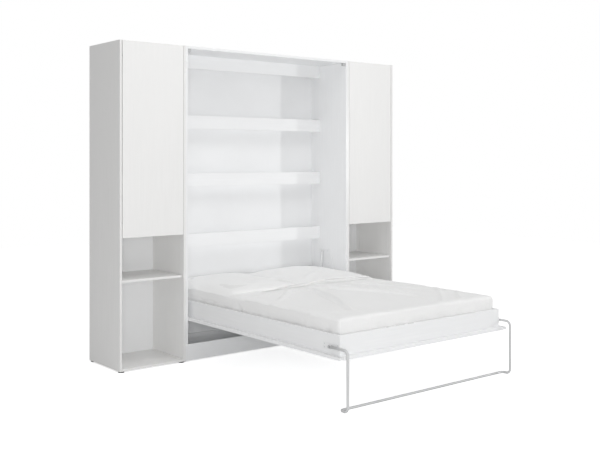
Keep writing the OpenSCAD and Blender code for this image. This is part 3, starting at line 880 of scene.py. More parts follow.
def finish_bands():
    """Edge bands on the boards' open edges."""
    edge_bands("cabinet_edge_bands", "cabinet", "cabinet", [
        ("cabinet_left_side", "-y"), ("cabinet_right_side", "-y"), ("cabinet_top", "-y")])
    towers = [(f"{side}_tower_{board}", "-y") for side, _ in SIDES
              for board in ("outer_side", "inner_side", "bottom", "divider")]
    towers += [(f"{side}_niche_shelf", "-y") for side, _ in SIDES]
    edge_bands("tower_edge_bands", "cabinet", "tower", towers)
    for side, _ in SIDES:
        edge_bands(f"{side}_door_edge_bands", f"{side}_door", "tower",
                   [(f"{side}_door", way) for way in ("-x", "+x", "-z", "+z")])
    edge_bands("bed_edge_bands", "bed", "cabinet", [
        ("left_bed_rail", "+z"), ("right_bed_rail", "+z"), ("foot_board", "+z"), ("head_rail", "+z"),
        ("face_panel", "+y")])


# ---------- hardware ----------

def finish_hardware():
    """Steel, paint and plastic on the CAD hardware."""
    for slot in FINISHES:
        for node in nodes_of(slot):
            dress(node, finish(slot))
    for node in ("wall_brackets", "left_mechanism_plate", "right_mechanism_plate", "leg_brackets",
                 "closing_stops", "latch_housings"):
        soften(NODES[node], 0.4 * MM)


def screws(name, body, spots, radius, height):
    """Zinc-plated screws on spots; the head's radius and height are in millimetres."""
    repeat(name, "Screws", body, spots, finish("zinc_steel"), "zinc_steel",
           Head_Radius=radius * MM, Head_Height=height * MM)


def plate_screws(side, sign):
    """Screws through the lift mechanism's plates on one side: on the cabinet and on the bed."""
    # Places as (behind the front plane, above the floor), in millimetres
    on_cabinet = [(120, 392), (186, 392), (175, 470), (236, 430), (205, 555), (300, 560), (218, 652),
                  (308, 630)]
    on_bed = [(112, 332), (190, 332), (270, 332), (336, 332), (338, 382), (200, 432), (120, 424)]
    inner = INNER_HALF - 3 * MM
    frame_half = high("right_bed_rail").x + 3 * MM
    screws(f"{side}_mechanism_screws", "cabinet",
           [((sign * inner, FRONT + y * MM, z * MM), (-sign, 0, 0)) for y, z in on_cabinet], 3.8, 1.6)
    screws(f"{side}_bed_plate_screws", "bed",
           [((sign * frame_half, FRONT + y * MM, z * MM), (sign, 0, 0)) for y, z in on_bed], 3.8, 1.4)


def back_nails():
    """Nails round the edges of the three thin backs."""
    spots = []
    for node, columns in (("cabinet_back", 12), ("left_tower_back", 4), ("right_tower_back", 4)):
        lo, hi = low(node), high(node)
        lift = 8 * MM
        for x in span(lo.x + lift, hi.x - lift, columns):
            spots += [((x, hi.y, z), (0, 1, 0)) for z in (lo.z + lift, hi.z - lift)]
        for z in span(lo.z + lift, hi.z - lift, 15)[1:-1]:
            spots += [((x, hi.y, z), (0, 1, 0)) for x in (lo.x + lift, hi.x - lift)]
    repeat("back_nails", "Nails", "cabinet", spots, finish("zinc_steel"), "zinc_steel",
           Head_Radius=2.6 * MM, Head_Height=0.7 * MM)


def cap_spots(node, depths, under):
    """Places for caps on a board, 34 mm from its ends and at two depths: under it, or on top of it."""
    lo, hi = low(node), high(node)
    z, way = (lo.z, -1) if under else (hi.z, 1)
    return [((x, y, z), (0, 0, way)) for x in (lo.x + 34 * MM, hi.x - 34 * MM) for y in depths]


def cover_caps():
    """Caps over the cam fittings of the tops, dividers and bottoms, and of the bed cabinet's rails."""
    spots = []
    for side, _ in SIDES:
        for board in ("top", "divider", "bottom"):
            node = f"{side}_tower_{board}"
            spots += cap_spots(node, (low(node).y + 50 * MM, high(node).y - 60 * MM), board != "bottom")
    front = low("cabinet_top").y
    spots += cap_spots("cabinet_top", (front + 70 * MM, front + 220 * MM), True)
    heights = sorted({round(v.co.z, 4) for v in NODES["back_rails"].data.vertices})
    rear = high("back_rails").y
    for bottom, top in zip(heights[::2], heights[1::2]):
        middle = (bottom + top) / 2
        spots += [((sign * (INNER_HALF - 34 * MM), rear, middle), (0, 1, 0)) for _, sign in SIDES]
    repeat("cam_cover_caps", "Cover Caps", "cabinet", spots, finish("white_plastic"), "white_plastic",
           Head_Radius=8.5 * MM, Head_Height=1.2 * MM)


def hinge_heights():
    """Height of the middle of each of a door's hinges."""
    groups = []
    for z in sorted({round(v.co.z, 4) for v in NODES["left_hinge_cups"].data.vertices}):
        if not groups or z - groups[-1][-1] > 0.1:
            groups.append([])
        groups[-1].append(z)
    return [(group[0] + group[-1]) / 2 for group in groups]


def hinge_screws():
    """Screws of the door hinges: two in each arm's plate and two in each cup's flange."""
    arms, middles = [], hinge_heights()
    for side, sign in SIDES:
        plate = sign * (OUTER_HALF - 19 * MM)
        arms += [((plate, FRONT + 45 * MM, z + up), (-sign, 0, 0))
                 for z in middles for up in (-14 * MM, 14 * MM)]
        flange = sign * (OUTER_HALF - 43.5 * MM)
        cup_face = high(f"{side}_hinge_cups").y
        screws(f"{side}_hinge_cup_screws", f"{side}_door",
               [((flange, cup_face, z + up), (0, 1, 0))
                for z in middles for up in (-21.5 * MM, 21.5 * MM)], 3.6, 1.2)
    screws("hinge_arm_screws", "cabinet", arms, 4, 1.6)


def frame_screws():
    """Screws of the leg's brackets, the slat cleats and the wall brackets."""
    lo, hi = low("leg_brackets"), high("leg_brackets")
    middle_y, middle_z = (lo.y + hi.y) / 2, (lo.z + hi.z) / 2
    screws("leg_bracket_screws", "bed",
           [((sign * hi.x, middle_y + y * MM, middle_z + z * MM), (sign, 0, 0))
            for _, sign in SIDES for y, z in ((57, 10), (57, -10), (-57, 13))], 3.4, 1.2)
    lo, hi = low("slat_cleats"), high("slat_cleats")
    inner = high("right_bed_rail").x - 18 * MM - 25 * MM
    screws("cleat_screws", "bed",
           [((sign * inner, y, (lo.z + hi.z) / 2), (-sign, 0, 0))
            for _, sign in SIDES for y in span(lo.y + 60 * MM, hi.y - 60 * MM, 9)], 4, 1.0)
    front, top = low("wall_brackets").y, high("wall_brackets").z - 2.5 * MM
    screws("wall_bracket_screws", "cabinet",
           [((sign * 0.6 + x, front + 14 * MM, top), (0, 0, -1))
            for _, sign in SIDES for x in (-10 * MM, 10 * MM)], 4, 1.6)


def slat_holders():
    """Plastic holders round the ends of the slats."""
    slats = NODES["slats"].data
    lo, hi = low("slats"), high("slats")
    rows = sorted({round(v.co.y, 4) for v in slats.vertices})
    width = rows[1] - rows[0]
    wall = 2 * MM
    middles = [(a + b) / 2 for a, b in zip(rows[::2], rows[1::2])]
    end = hi.x + wall * 0.75
    spots = [((sign * end, y, (lo.z + hi.z) / 2), (sign, 0, 0)) for _, sign in SIDES for y in middles]
    made = repeat("slat_holders", "Slat Holders", "bed", spots,
                  finish("grey_plastic"), "grey_plastic",
                  Slat_Width=width + 0.4 * MM, Slat_Thickness=(hi.z - lo.z) * 0.92, Wall=wall)
    soften(made, 0.5 * MM)


def strut_fittings():
    """Collars at the struts' eyes, and the seal ring at the mouth of each cylinder."""
    reach = 4 * MM
    for side, sign in SIDES:
        eye_x = sign * (INNER_HALF - 17.5 * MM)
        start = Vector((eye_x, low(f"{side}_strut_cylinder").y + 9 * MM,
                        high(f"{side}_strut_cylinder").z - 9 * MM))
        end = Vector((eye_x, high(f"{side}_strut_rod").y - 9 * MM, low(f"{side}_strut_rod").z + 9 * MM))
        along = (end - start).normalized()
        for piece, body, middle, radius in (
                ("seal", f"{side}_cylinder", start + along * 0.205, 0.0108),
                ("collar", f"{side}_cylinder", start + along * 0.021, 0.0106),
                ("rod_collar", f"{side}_rod", end - along * 0.014, 0.0072)):
            path = [middle - along * reach, middle - along * reach * 0.8,
                    middle + along * reach * 0.8, middle + along * reach]
            to_piece(f"{side}_strut_{piece}", mesh_from(*chamfered_bar(path, radius, 28, 0.88)), body,
                     finish("white_plastic"))


# ---------- bedding ----------

def bedding():
    """The bedding's settings."""
    return bpy.context.scene.wall_bed_bedding


def smooth(values):
    """Smooth step of values clamped to 0 to 1."""
    values = np.clip(values, 0.0, 1.0)
    return values * values * (3 - 2 * values)


def wavy(points, scale, seed):
    """Seeded smooth noise, -1 to 1, at each of an array of points."""
    shift = Vector((seed * 3.1, seed * 7.7, seed * 1.3))
    return np.array([noise.noise(Vector(p) * scale + shift) for p in points])


def even(start, end, step):
    """Values from start to end about step apart."""
    return np.linspace(start, end, max(2, round((end - start) / step) + 1))


def with_fine(values, centre, reach, step):
    """The same values with finer ones within reach of centre."""
    kept = values[np.abs(values - centre) > reach + step * 0.7]
    return np.sort(np.concatenate([kept, even(centre - reach, centre + reach, step)]))


def open_box(xs, ys, zs):
    """Grid over the top and the four sides of an open box; points, faces and flat places of corners.

    zs runs from the top down. A flat place is where a corner lies on the cloth when it is spread out.
    """
    index, points, faces, flats = {}, [], [], []
    top = zs[0]

    def corner(x, y, z):
        key = (round(x, 6), round(y, 6), round(z, 6))
        if key not in index:
            index[key] = len(points)
            points.append((x, y, z))
        return index[key]

    def cell(spots, flat_spots):
        faces.append([corner(*spot) for spot in spots])
        flats.extend(flat_spots)

    for x0, x1 in zip(xs, xs[1:]):
        for y0, y1 in zip(ys, ys[1:]):
            ring = ((x0, y0), (x1, y0), (x1, y1), (x0, y1))
            cell([(*p, top) for p in ring], ring)
    for z1, z0 in zip(zs, zs[1:]):
        down1, down0 = top - z1, top - z0
        for x0, x1 in zip(xs, xs[1:]):
            foot, head = ys[0], ys[-1]
            cell([(x0, foot, z0), (x1, foot, z0), (x1, foot, z1), (x0, foot, z1)],
                 [(x0, foot - down0), (x1, foot - down0), (x1, foot - down1), (x0, foot - down1)])
            cell([(x1, head, z0), (x0, head, z0), (x0, head, z1), (x1, head, z1)],
                 [(x1, head + down0), (x0, head + down0), (x0, head + down1), (x1, head + down1)])
        for y0, y1 in zip(ys, ys[1:]):
            left, right = xs[0], xs[-1]
            cell([(left, y1, z0), (left, y0, z0), (left, y0, z1), (left, y1, z1)],
                 [(left - down0, y1), (left - down0, y0), (left - down1, y0), (left - down1, y1)])
            cell([(right, y0, z0), (right, y1, z0), (right, y1, z1), (right, y0, z1)],
                 [(right + down0, y0), (right + down0, y1), (right + down1, y1), (right + down1, y0)])
    return np.array(points), faces, flats


def round_edges(points, lo, hi, radius):
    """Points on a box moved onto the same box with round edges, open below; and their normals."""
    inner = points.copy()
    inner[:, 0] = np.clip(points[:, 0], lo.x + radius, hi.x - radius)
    inner[:, 1] = np.clip(points[:, 1], lo.y + radius, hi.y - radius)
    inner[:, 2] = np.minimum(points[:, 2], hi.z - radius)
    out = points - inner
    length = np.maximum(np.linalg.norm(out, axis=1, keepdims=True), 1e-9)
    normals = out / length
    return inner + normals * radius, normals


def pillow_rise(points):
    """How far the pillows lift the cover at each point's X and Y."""
    lo, hi = low("right_pillow"), high("right_pillow")
    across = (np.abs(points[:, 0]) - (lo.x + hi.x) / 2) / ((hi.x - lo.x) / 2 + 0.04)
    along = (points[:, 1] - (lo.y + hi.y) / 2) / ((hi.y - lo.y) / 2 + 0.012)
    crown = np.clip(1 - across**2, 0, 1) ** 0.6 * np.clip(1 - along**4, 0, 1) ** 0.5
    edge = smooth((hi.x + 0.012 - np.abs(points[:, 0])) / 0.07)
    head = smooth((hi.y + 0.006 - points[:, 1]) / 0.09)
    return bedding().pillow_rise * crown * edge * head


def tuck_line(x):
    """Where the cover is tucked in under the pillows: a shallow arc across the bed."""
    foot = low("right_pillow").y
    return foot - 0.018 - 0.11 * (x - 0.22) ** 2


def fold(points, path, width, height):
    """Height of one soft fold along a path on the bed, with the hollow on its right-hand side."""
    path = np.array(path, float)
    best = np.full(len(points), 1e9)
    signed = np.zeros(len(points))
    fade = np.zeros(len(points))
    lengths = np.linalg.norm(np.diff(path, axis=0), axis=1)
    total, run = lengths.sum(), 0.0
    for start, end, length in zip(path, path[1:], lengths):
        way = (end - start) / length
        offset = points[:, :2] - start
        along = np.clip(offset @ way, 0, length)
        gap = offset - along[:, None] * way
        distance = np.linalg.norm(gap, axis=1)
        nearer = distance < best
        best[nearer] = distance[nearer]
        side = way[0] * offset[:, 1] - way[1] * offset[:, 0]
        signed[nearer] = (np.sign(side) * distance)[nearer]
        share = (run + along) / total
        fade[nearer] = (np.sin(np.clip(share, 0.02, 0.98) * math.pi) ** 0.6)[nearer]
        run += length
    ridge = np.exp(-((signed / width) ** 2))
    hollow = np.exp(-(((signed + 1.5 * width) / width) ** 2))
    return height * fade * (ridge - 0.35 * hollow)


# Each fold's path, as metres from the middle of the bed and from the cabinet's front, its width and height
FOLDS = (
    (((-0.03, -0.43), (-0.17, -0.80), (-0.31, -1.12), (-0.42, -1.34)), 0.015, 0.027),
    (((0.03, -0.42), (0.09, -0.70), (0.20, -0.88), (0.25, -1.20)), 0.014, 0.023),
    (((0.22, -0.42), (0.26, -0.72), (0.30, -1.06), (0.27, -1.26)), 0.013, 0.018),
    (((0.38, -0.45), (0.46, -0.80), (0.52, -1.18)), 0.014, 0.013),
    (((-0.20, -0.44), (-0.38, -0.66), (-0.55, -0.80)), 0.014, 0.010),
    (((-0.35, 0.02), (-0.20, -0.10), (-0.02, -0.30)), 0.016, 0.007),
    (((0.55, -0.02), (0.30, -0.12), (0.08, -0.26)), 0.016, 0.007),
    (((-0.60, -0.20), (-0.42, -0.26), (-0.22, -0.33)), 0.014, 0.005),
)


def soft_folds(points):
    """Folds on both sides of the tuck, most of them down to the foot, and the slow unevenness."""
    lift = 0.0
    for path, width, height in FOLDS:
        lift = lift + fold(points, [(x, FRONT + y) for x, y in path], width, height)
    flat = points * (1.0, 0.8, 1.0)
    return lift + (0.0045 * wavy(flat, 4.2, bedding().seed) + 0.0022 * wavy(flat, 11.0, bedding().seed + 1))


def settle(piece, support, spare, frames=24):
    """Let a cloth that is cut a little large settle on its support, held at its pinned rim."""
    support.modifiers.new("Support", "COLLISION")
    support.collision.thickness_outer = 0.002
    support.collision.cloth_friction = 18
    cloth = piece.modifiers.new("Cloth", "CLOTH")
    thing = cloth.settings
    thing.quality = 6
    thing.mass = 0.25
    thing.tension_stiffness = 18
    thing.compression_stiffness = 18
    thing.shear_stiffness = 6
    thing.bending_stiffness = 1.2
    thing.shrink_min = -spare
    thing.vertex_group_mass = "rim"
    thing.effector_weights.gravity = 0.6
    cloth.collision_settings.distance_min = 0.002
    run_cloth(piece, cloth, frames)


def run_cloth(piece, cloth, frames):
    """Step the frames and keep the cloth's last shape in the mesh."""
    scene = bpy.context.scene
    cloth.point_cache.frame_start = 1
    cloth.point_cache.frame_end = frames
    for number in range(1, frames + 1):
        scene.frame_set(number)
    graph = bpy.context.evaluated_depsgraph_get()
    settled = piece.evaluated_get(graph).data
    places = np.empty(len(settled.vertices) * 3)
    settled.vertices.foreach_get("co", places)
    piece.modifiers.remove(cloth)
    scene.frame_set(1)
    piece.data.vertices.foreach_set("co", places)
    piece.data.update()


def places_of(mesh):
    """The mesh's points as an array."""
    places = np.empty(len(mesh.vertices) * 3)
    mesh.vertices.foreach_get("co", places)
    return places.reshape(-1, 3)


def tuck_in(points, weight_top):
    """Push the cover under the pillows along the tuck: a lip that hangs over a narrow dark recess."""
    line = tuck_line(points[:, 0])
    behind = points[:, 1] - line
    depth = smooth((points[:, 0] + 0.50) / 0.22) * smooth((0.668 - points[:, 0]) / 0.12)
    depth *= 0.95 + 0.5 * wavy(np.c_[points[:, 0], points[:, 0] * 0, points[:, 0] * 0], 9.0, 4)
    depth = np.clip(depth, 0, 1) * weight_top
    # Height and push along the bed at distances behind the tuck: floor, back wall, roof, lip, slope
    stops = MM * np.array([-45, -12, 0, 6, 11, 15, 19, 23, 28, 33, 38, 43, 58, 90])
    lifts = MM * np.array([0, -2, -4, -5, -5, -4, 1, 4, 5, 5.5, 7, 8, 6, 0])
    pushes = MM * np.array([0, 0, 8, 18, 24, 24, 21, 10, -10, -26, -34, -34, -20, 0])
    points[:, 2] += depth * np.interp(behind, stops, lifts)
    points[:, 1] += depth * np.interp(behind, stops, pushes)


def side_crease():
    """Where along the bed the cover is creased on its sides."""
    return low("right_pillow").y - 0.198


def gather_sides(points, normals, top, radius):
    """Vertical gathers down the sides, deeper towards the rails."""
    down = smooth((top - radius * 0.4 - points[:, 2]) / 0.06)
    around = np.c_[points[:, 0], points[:, 1], points[:, 2] * 0.12]
    seed = bedding().seed
    ripple = 0.0040 * wavy(around, 15.0, seed + 2) + 0.0030 * wavy(around, 34.0, seed + 3)
    outward = normals * (1.0, 1.0, 0.0)
    points += outward * ((ripple - 0.0035) * down)[:, None]
    # One crease on each side where the cloth is folded over
    crease = np.exp(-(((points[:, 1] - side_crease()) / 0.005) ** 2)) * down
    crease *= np.abs(normals[:, 0]) > 0.8
    points += outward * (-0.006 * crease)[:, None]


def add_level(piece, kind="CATMULL_CLARK"):
    """Add one live level of subdivision to a piece."""
    finer = piece.modifiers.new("Finer", "SUBSURF")
    finer.subdivision_type = kind
    finer.levels = finer.render_levels = 1
    return finer


def divide(piece, kind="CATMULL_CLARK"):
    """Divide each face of a piece's mesh in four, for good."""
    finer = add_level(piece, kind)
    graph = bpy.context.evaluated_depsgraph_get()
    mesh = bpy.data.meshes.new_from_object(piece.evaluated_get(graph))
    piece.modifiers.remove(finer)
    mesh.name = piece.name
    old, piece.data = piece.data, mesh
    bpy.data.meshes.remove(old)


def divided(points, faces):
    """The points of a grid after each face is divided in four, kept on the grid's flat faces."""
    grid = place_object("grid", grid_mesh("grid", points, faces))
    divide(grid, "SIMPLE")
    places = places_of(grid.data)
    bpy.data.objects.remove(grid)
    return places


def make_cover():
    """The white cover over mattress and pillows, tucked in behind the bed's rails."""
    lo, hi = low("bed_cover").copy(), high("bed_cover").copy()
    hi.z = high("mattress").z + 8 * MM
    radius, step = bedding().edge_round, bedding().grid
    line_y = float(tuck_line(np.array([0.0]))[0])
    ys = with_fine(even(lo.y, hi.y, step), line_y + 0.014, 0.044, 0.004)
    ys = with_fine(ys, side_crease(), 0.012, 0.004)
    zs = even(lo.z, hi.z, step * 0.8)[::-1]
    points, faces, flats = open_box(even(lo.x, hi.x, step), ys, zs)
    # The fine rows follow the tuck's arc
    reach = smooth(1 - np.abs(points[:, 1] - line_y) / 0.2)
    points[:, 1] += (tuck_line(points[:, 0]) - line_y) * reach
    box = points.copy()
    points, normals = round_edges(points, lo, hi, radius)
    points[:, 2] += pillow_rise(points) * smooth(normals[:, 2])
    mesh = grid_mesh("bed_cover_cloth", points, faces)
    uv = mesh.uv_layers.new(name="flat")
    uv.uv.foreach_set("vector", [c for spot in flats for c in spot])
    cotton = once("cover_cloth", woven_cloth, tuple(bedding().cloth_white), 0.0009, True)
    cover = to_piece("bed_cover_cloth", mesh, "bed", cotton)
    drape(cover, points, normals, faces, hi.z - 0.055)
    # Both forms are made finer before the folds are added, so that narrow folds keep their shape
    points, normals = round_edges(divided(box, faces), lo, hi, radius)
    up = normals[:, 2]
    points[:, 2] += pillow_rise(points) * smooth(up)
    divide(cover)
    # The settled wrinkles fade out at the tuck, which is shaped from the listed heights and pushes
    near = smooth(1.4 - np.abs(points[:, 1] - tuck_line(points[:, 0]) - 0.02) / 0.09)
    shape = points + (places_of(cover.data) - points) * (1 - near)[:, None]
    shape[:, 2] += soft_folds(points) * smooth(up)
    tuck_in(shape, smooth(up))
    gather_sides(shape, normals, hi.z, radius)
    shape[:, 0] = np.clip(shape[:, 0], lo.x, hi.x)
    shape[:, 1] = np.clip(shape[:, 1], lo.y, hi.y)
    above_mattress = np.where(up > 0.95, high("mattress").z + 3 * MM, lo.z)
    shape[:, 2] = np.maximum(shape[:, 2], above_mattress)
    cover.data.vertices.foreach_set("co", shape.ravel())
    thick = cover.modifiers.new("Cloth thickness", "SOLIDIFY")
    thick.thickness = 2.5 * MM
    thick.offset = -1
    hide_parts("bed_cover")
    piping = cover_piping(lo, hi, radius)


def drape(cover, points, normals, faces, pinned_below):
    """Settle the cover on a copy of its own smooth form."""
    support = place_object("support", grid_mesh("support", points - normals * 3 * MM, faces))
    rim = cover.vertex_groups.new(name="rim")
    rim.add([int(i) for i in np.nonzero(points[:, 2] < pinned_below)[0]], 1.0, "REPLACE")
    settle(cover, support, bedding().spare_cloth)
    cover.vertex_groups.clear()
    bpy.data.objects.remove(support)


def cover_piping(lo, hi, radius):
    """Piping sewn into the cover's four upright corner seams."""
    parts = []
    for x_sign, x_edge in ((-1, lo.x), (1, hi.x)):
        for y_sign, y_edge in ((-1, lo.y), (1, hi.y)):
            centre = Vector((x_edge - x_sign * radius, y_edge - y_sign * radius, hi.z - radius))
            out = Vector((x_sign, y_sign, 0)).normalized()
            path = [centre + out * radius + Vector((0, 0, z)) for z in span(lo.z - centre.z, 0, 6)]
            path += [centre + radius * (math.cos(t) * out + math.sin(t) * Vector((0, 0, 1)))
                     for t in span(0, math.radians(62), 8)[1:]]
            parts.append(tube(path, 2.0 * MM, 8))
    cotton = once("cover_cloth_piping", woven_cloth, shade(bedding().cloth_white, 1.06)[:3], 0.0006, False)
    return to_piece("cover_piping", mesh_from(*joined(*parts)), "bed", cotton)


def closed_box(lo, hi, step, radius):
    """Points and faces of a closed box with round edges, on an even grid."""
    xs, ys, zs = (even(lo[i], hi[i], step) for i in range(3))
    points, faces, _ = open_box(xs, ys, zs[::-1])
    index = {tuple(np.round(p, 5)): i for i, p in enumerate(points)}
    points = points.tolist()

    def bottom(x, y):
        key = tuple(np.round((x, y, lo.z), 5))
        if key not in index:
            index[key] = len(points)
            points.append([x, y, lo.z])
        return index[key]

    for x0, x1 in zip(xs, xs[1:]):
        for y0, y1 in zip(ys, ys[1:]):
            faces.append([bottom(x0, y1), bottom(x1, y1), bottom(x1, y0), bottom(x0, y0)])
    points = np.array(points)
    inner = np.stack([np.clip(points[:, i], lo[i] + radius, hi[i] - radius) for i in range(3)], axis=1)
    out = points - inner
    out /= np.maximum(np.linalg.norm(out, axis=1, keepdims=True), 1e-9)
    return inner + out * radius, out, faces


def make_mattress():
    """The foam mattress in its quilted ticking, with piped edges."""
    gap = 5 * MM
    lo, hi = low("mattress") + Vector((gap, gap, 0.5 * MM)), high("mattress") - Vector((gap, gap, 4 * MM))
    radius = 20 * MM
    points, normals, faces = closed_box(lo, hi, 0.024, radius)
    pitch = 0.15
    waves = np.abs(np.sin((points[:, 0] + points[:, 1]) * math.pi / pitch)) \
        * np.abs(np.sin((points[:, 0] - points[:, 1]) * math.pi / pitch))
    points[:, 2] += normals[:, 2].clip(0, 1) ** 4 * 3.5 * MM * waves ** 0.35
    points[:, 2] -= normals[:, 2].clip(-1, 0) ** 4 * 0.3 * MM * (1 - waves)
    side = 1 - np.abs(normals[:, 2])
    points[:, :2] -= normals[:, :2] * (side * 1.5 * MM * (1 - np.cos(points[:, 2:3].ravel() * 90)))[:, None]
    mattress = to_piece("mattress_ticking", grid_mesh("mattress_ticking", points, faces), "bed",
                        once("mattress_cloth", knitted_ticking, (0.78, 0.78, 0.77)))
    add_level(mattress)
    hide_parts("mattress")
    rings = []
    for z in (lo.z + radius * 0.5, hi.z - radius * 0.5):
        out = radius * (1 - math.cos(math.radians(60)))
        corners = [Vector((x, y, z)) for x, y in (
            (lo.x + out, lo.y + out), (hi.x - out, lo.y + out),
            (hi.x - out, hi.y - out), (lo.x + out, hi.y - out))]
        middle = (corners[0] + corners[1]) / 2
        ring = rounded_path([middle, *corners[1:], corners[0], middle], [radius] * 4, 6)[:-1]
        rings.append(tube(ring, 2.5 * MM, 8, closed=True))
    to_piece("mattress_piping", mesh_from(*joined(*rings)), "bed",
             pillow_cotton())


def make_pillows():
    """Two stuffed pillows: crowned, with sides that pull in between their corners."""
    cells = 34
    for side, _ in SIDES:
        lo, hi = low(f"{side}_pillow"), high(f"{side}_pillow")
        middle = (lo + hi) / 2
        half_x, half_y, rise = (hi.x - lo.x) / 2 - 0.006, (hi.y - lo.y) / 2 - 0.006, (hi.z - lo.z) * 0.8
        points, faces = [], []
        for face in (1, -1):
            for i in range(cells + 1):
                for j in range(cells + 1):
                    u, v = 2 * i / cells - 1, 2 * j / cells - 1
                    crown = math.sqrt(max(0.0, (1 - u**4) * (1 - v**4)))
                    pull = 1 - 0.045 * (1 - v * v) * abs(u) ** 3, 1 - 0.045 * (1 - u * u) * abs(v) ** 3
                    seam = lo.z + 0.012
                    z = seam + rise * crown if face > 0 else seam - 0.010 * crown
                    points.append((middle.x + half_x * u * pull[0], middle.y + half_y * v * pull[1], z))
            base = 0 if face > 0 else (cells + 1) ** 2
            for i in range(cells):
                for j in range(cells):
                    a = base + i * (cells + 1) + j
                    ring = (a, a + cells + 1, a + cells + 2, a + 1)
                    faces.append(ring if face > 0 else ring[::-1])
        mesh = mesh_from(points, faces)
        pillow = to_piece(f"{side}_pillow_case", mesh, "bed", pillow_cotton())
        plump(pillow, lo, hi)
        add_level(pillow)
        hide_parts(f"{side}_pillow")


def plump(pillow, lo, hi, most=0.006, frames=16):
    """Blow a pillow up a little as cloth, with no point moving more than most."""
    before = places_of(pillow.data)
    cloth = pillow.modifiers.new("Cloth", "CLOTH")
    thing = cloth.settings
    thing.quality = 4
    thing.use_pressure = True
    thing.uniform_pressure_force = 4
    thing.shrink_min = -0.015
    thing.effector_weights.gravity = 0
    cloth.collision_settings.use_collision = False
    run_cloth(pillow, cloth, frames)
    moved = places_of(pillow.data) - before
    length = np.maximum(np.linalg.norm(moved, axis=1, keepdims=True), 1e-9)
    after = before + moved * np.minimum(1.0, most / length)
    after[:, 2] = np.clip(after[:, 2], lo.z + 0.5 * MM, hi.z + 1 * MM)
    pillow.data.vertices.foreach_set("co", after.ravel())


# ---------- folding leg ----------

def make_leg():
    """The leg: one tube bent from arm to upright, hook, crossbar and back, with an eye at each end."""
    bends = bpy.context.scene.wall_bed_leg
    lo, hi = low("leg_frame"), high("leg_frame")
    radius = bends.tube / 2
    eye_r = 12 * MM
    x, z_low = hi.x - radius, lo.z + radius
    upright_y = lo.y + radius
    pivot = Vector((x, hi.y - eye_r, hi.z - eye_r))
    hook_y = upright_y + bends.hook_length
    half = [(x, pivot.y, pivot.z), (x, upright_y, pivot.z), (x, upright_y, z_low), (x, hook_y, z_low)]
    mirror = [(-px, py, pz) for px, py, pz in reversed(half)]
    radii = (bends.shoulder, bends.foot, bends.hook)
    path = rounded_path([*half, *mirror], [*radii, *reversed(radii)], 14)
    leg = to_piece("leg_tube", mesh_from(*tube(path, radius, 28)), "leg", finish("leg_paint"))
    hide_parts("leg_frame")
    eyes = []
    for _, sign in SIDES:
        eye = [Vector((sign * (x + step * MM), pivot.y, pivot.z)) for step in (-6, -5.2, 5.2, 6)]
        eyes.append(chamfered_bar(eye, eye_r, 32, 0.93))
    to_piece("leg_eyes", mesh_from(*joined(*eyes)), "leg", finish("leg_paint"))


# ---------- stage ----------

def lamp(name, place, target, size, power, gloss=1.0):
    """A round soft light that points at a target; gloss is its share in reflections."""
    data = bpy.data.lights.new(name, "AREA")
    data.shape = "DISK"
    data.size = size
    data.energy = power
    data.specular_factor = gloss
    made = place_object(name, data)
    made.location = place
    made.rotation_euler = (Vector(target) - Vector(place)).to_track_quat("-Z", "Y").to_euler()


def make_camera(stage):
    """The camera, level and turned towards the bed."""
    scene = bpy.context.scene
    camera = place_object("camera", bpy.data.cameras.new("camera"))
    camera.location = stage.camera_place
    camera.rotation_euler = (math.radians(90), 0, -stage.camera_turn)
    camera.data.lens = stage.lens
    camera.data.sensor_width = 36
    camera.data.shift_y = stage.rise
    scene.camera = camera


def make_sky(stage):
    """Soft white light from all sides, seen as plain white."""
    world = bpy.data.worlds.new("sky")
    world.use_nodes = True
    bpy.context.scene.world = world
    tree = world.node_tree
    sky = tree.nodes["Background"]
    sky.inputs["Color"].default_value = (1, 1, 1, 1)
    seen = put(tree, "ShaderNodeLightPath", -600, 0).outputs["Is Camera Ray"]
    plug(tree, sky.inputs["Strength"], spread(tree, -300, 0, seen, 0, 1, stage.sky, 1.0))


def make_floor(stage, half=9):
    """A plain pale floor that glows a little where the camera sees it."""
    corners = [(-half, -half, 0), (half, -half, 0), (half, half, 0), (-half, half, 0)]
    mesh = mesh_from(corners, [(0, 1, 2, 3)], outward=False)
    floor = place_object("floor", mesh)
    material, tree, shader, place = start_material("pale_floor", Roughness=0.9, Specular_IOR_Level=0.0)
    cloud = cloudy(tree, -700, 0, place, 0.8)
    plug(tree, shader.inputs["Base Color"],
         blend_colours(tree, -300, 100, cloud, (0.9, 0.9, 0.9, 1), (0.93, 0.93, 0.93, 1)))
    shader.inputs["Emission Color"].default_value = (1, 1, 1, 1)
    seen = put(tree, "ShaderNodeLightPath", -600, -300).outputs["Is Camera Ray"]
    plug(tree, shader.inputs["Emission Strength"],
         sums(tree, -300, -300, "MULTIPLY", seen, stage.floor_glow))
    mesh.materials.append(material)


def make_stage():
    """Camera, light from all sides, four soft lamps and the floor."""
    scene = bpy.context.scene
    stage = scene.wall_bed_stage
    scene.view_settings.view_transform = "Standard"
    scene.cycles.diffuse_bounces = stage.bounces
    make_camera(stage)
    make_sky(stage)
    lamp("key", (3.75, FRONT - 4.0, 1.46), (0, FRONT - 0.2, 1.1), 0.16, stage.key_power, 0.15)
    lamp("front", (-4.0, -5.2, 1.2), (0, 0.3, 1.0), 1.6, stage.front_power, 0.2)
    lamp("overhead", (0.2, -1.2, 4.6), (0, -0.4, 0), 3.2, stage.top_power, 0.3)
    lamp("side", (-6.0, -1.0, 2.2), (0, 0.3, 1.0), 3.0, stage.side_power, 0.3)
    make_floor(stage)


# ---------- operators and panel ----------

class WALLBED_OT_stage(bpy.types.Operator):
    """Set up the camera, the light and the floor"""

    bl_idname = "wallbed.stage"
    bl_label = "Stage"
    bl_options = {"REGISTER", "UNDO"}

    def execute(self, context):
        make_stage()
        return {"FINISHED"}


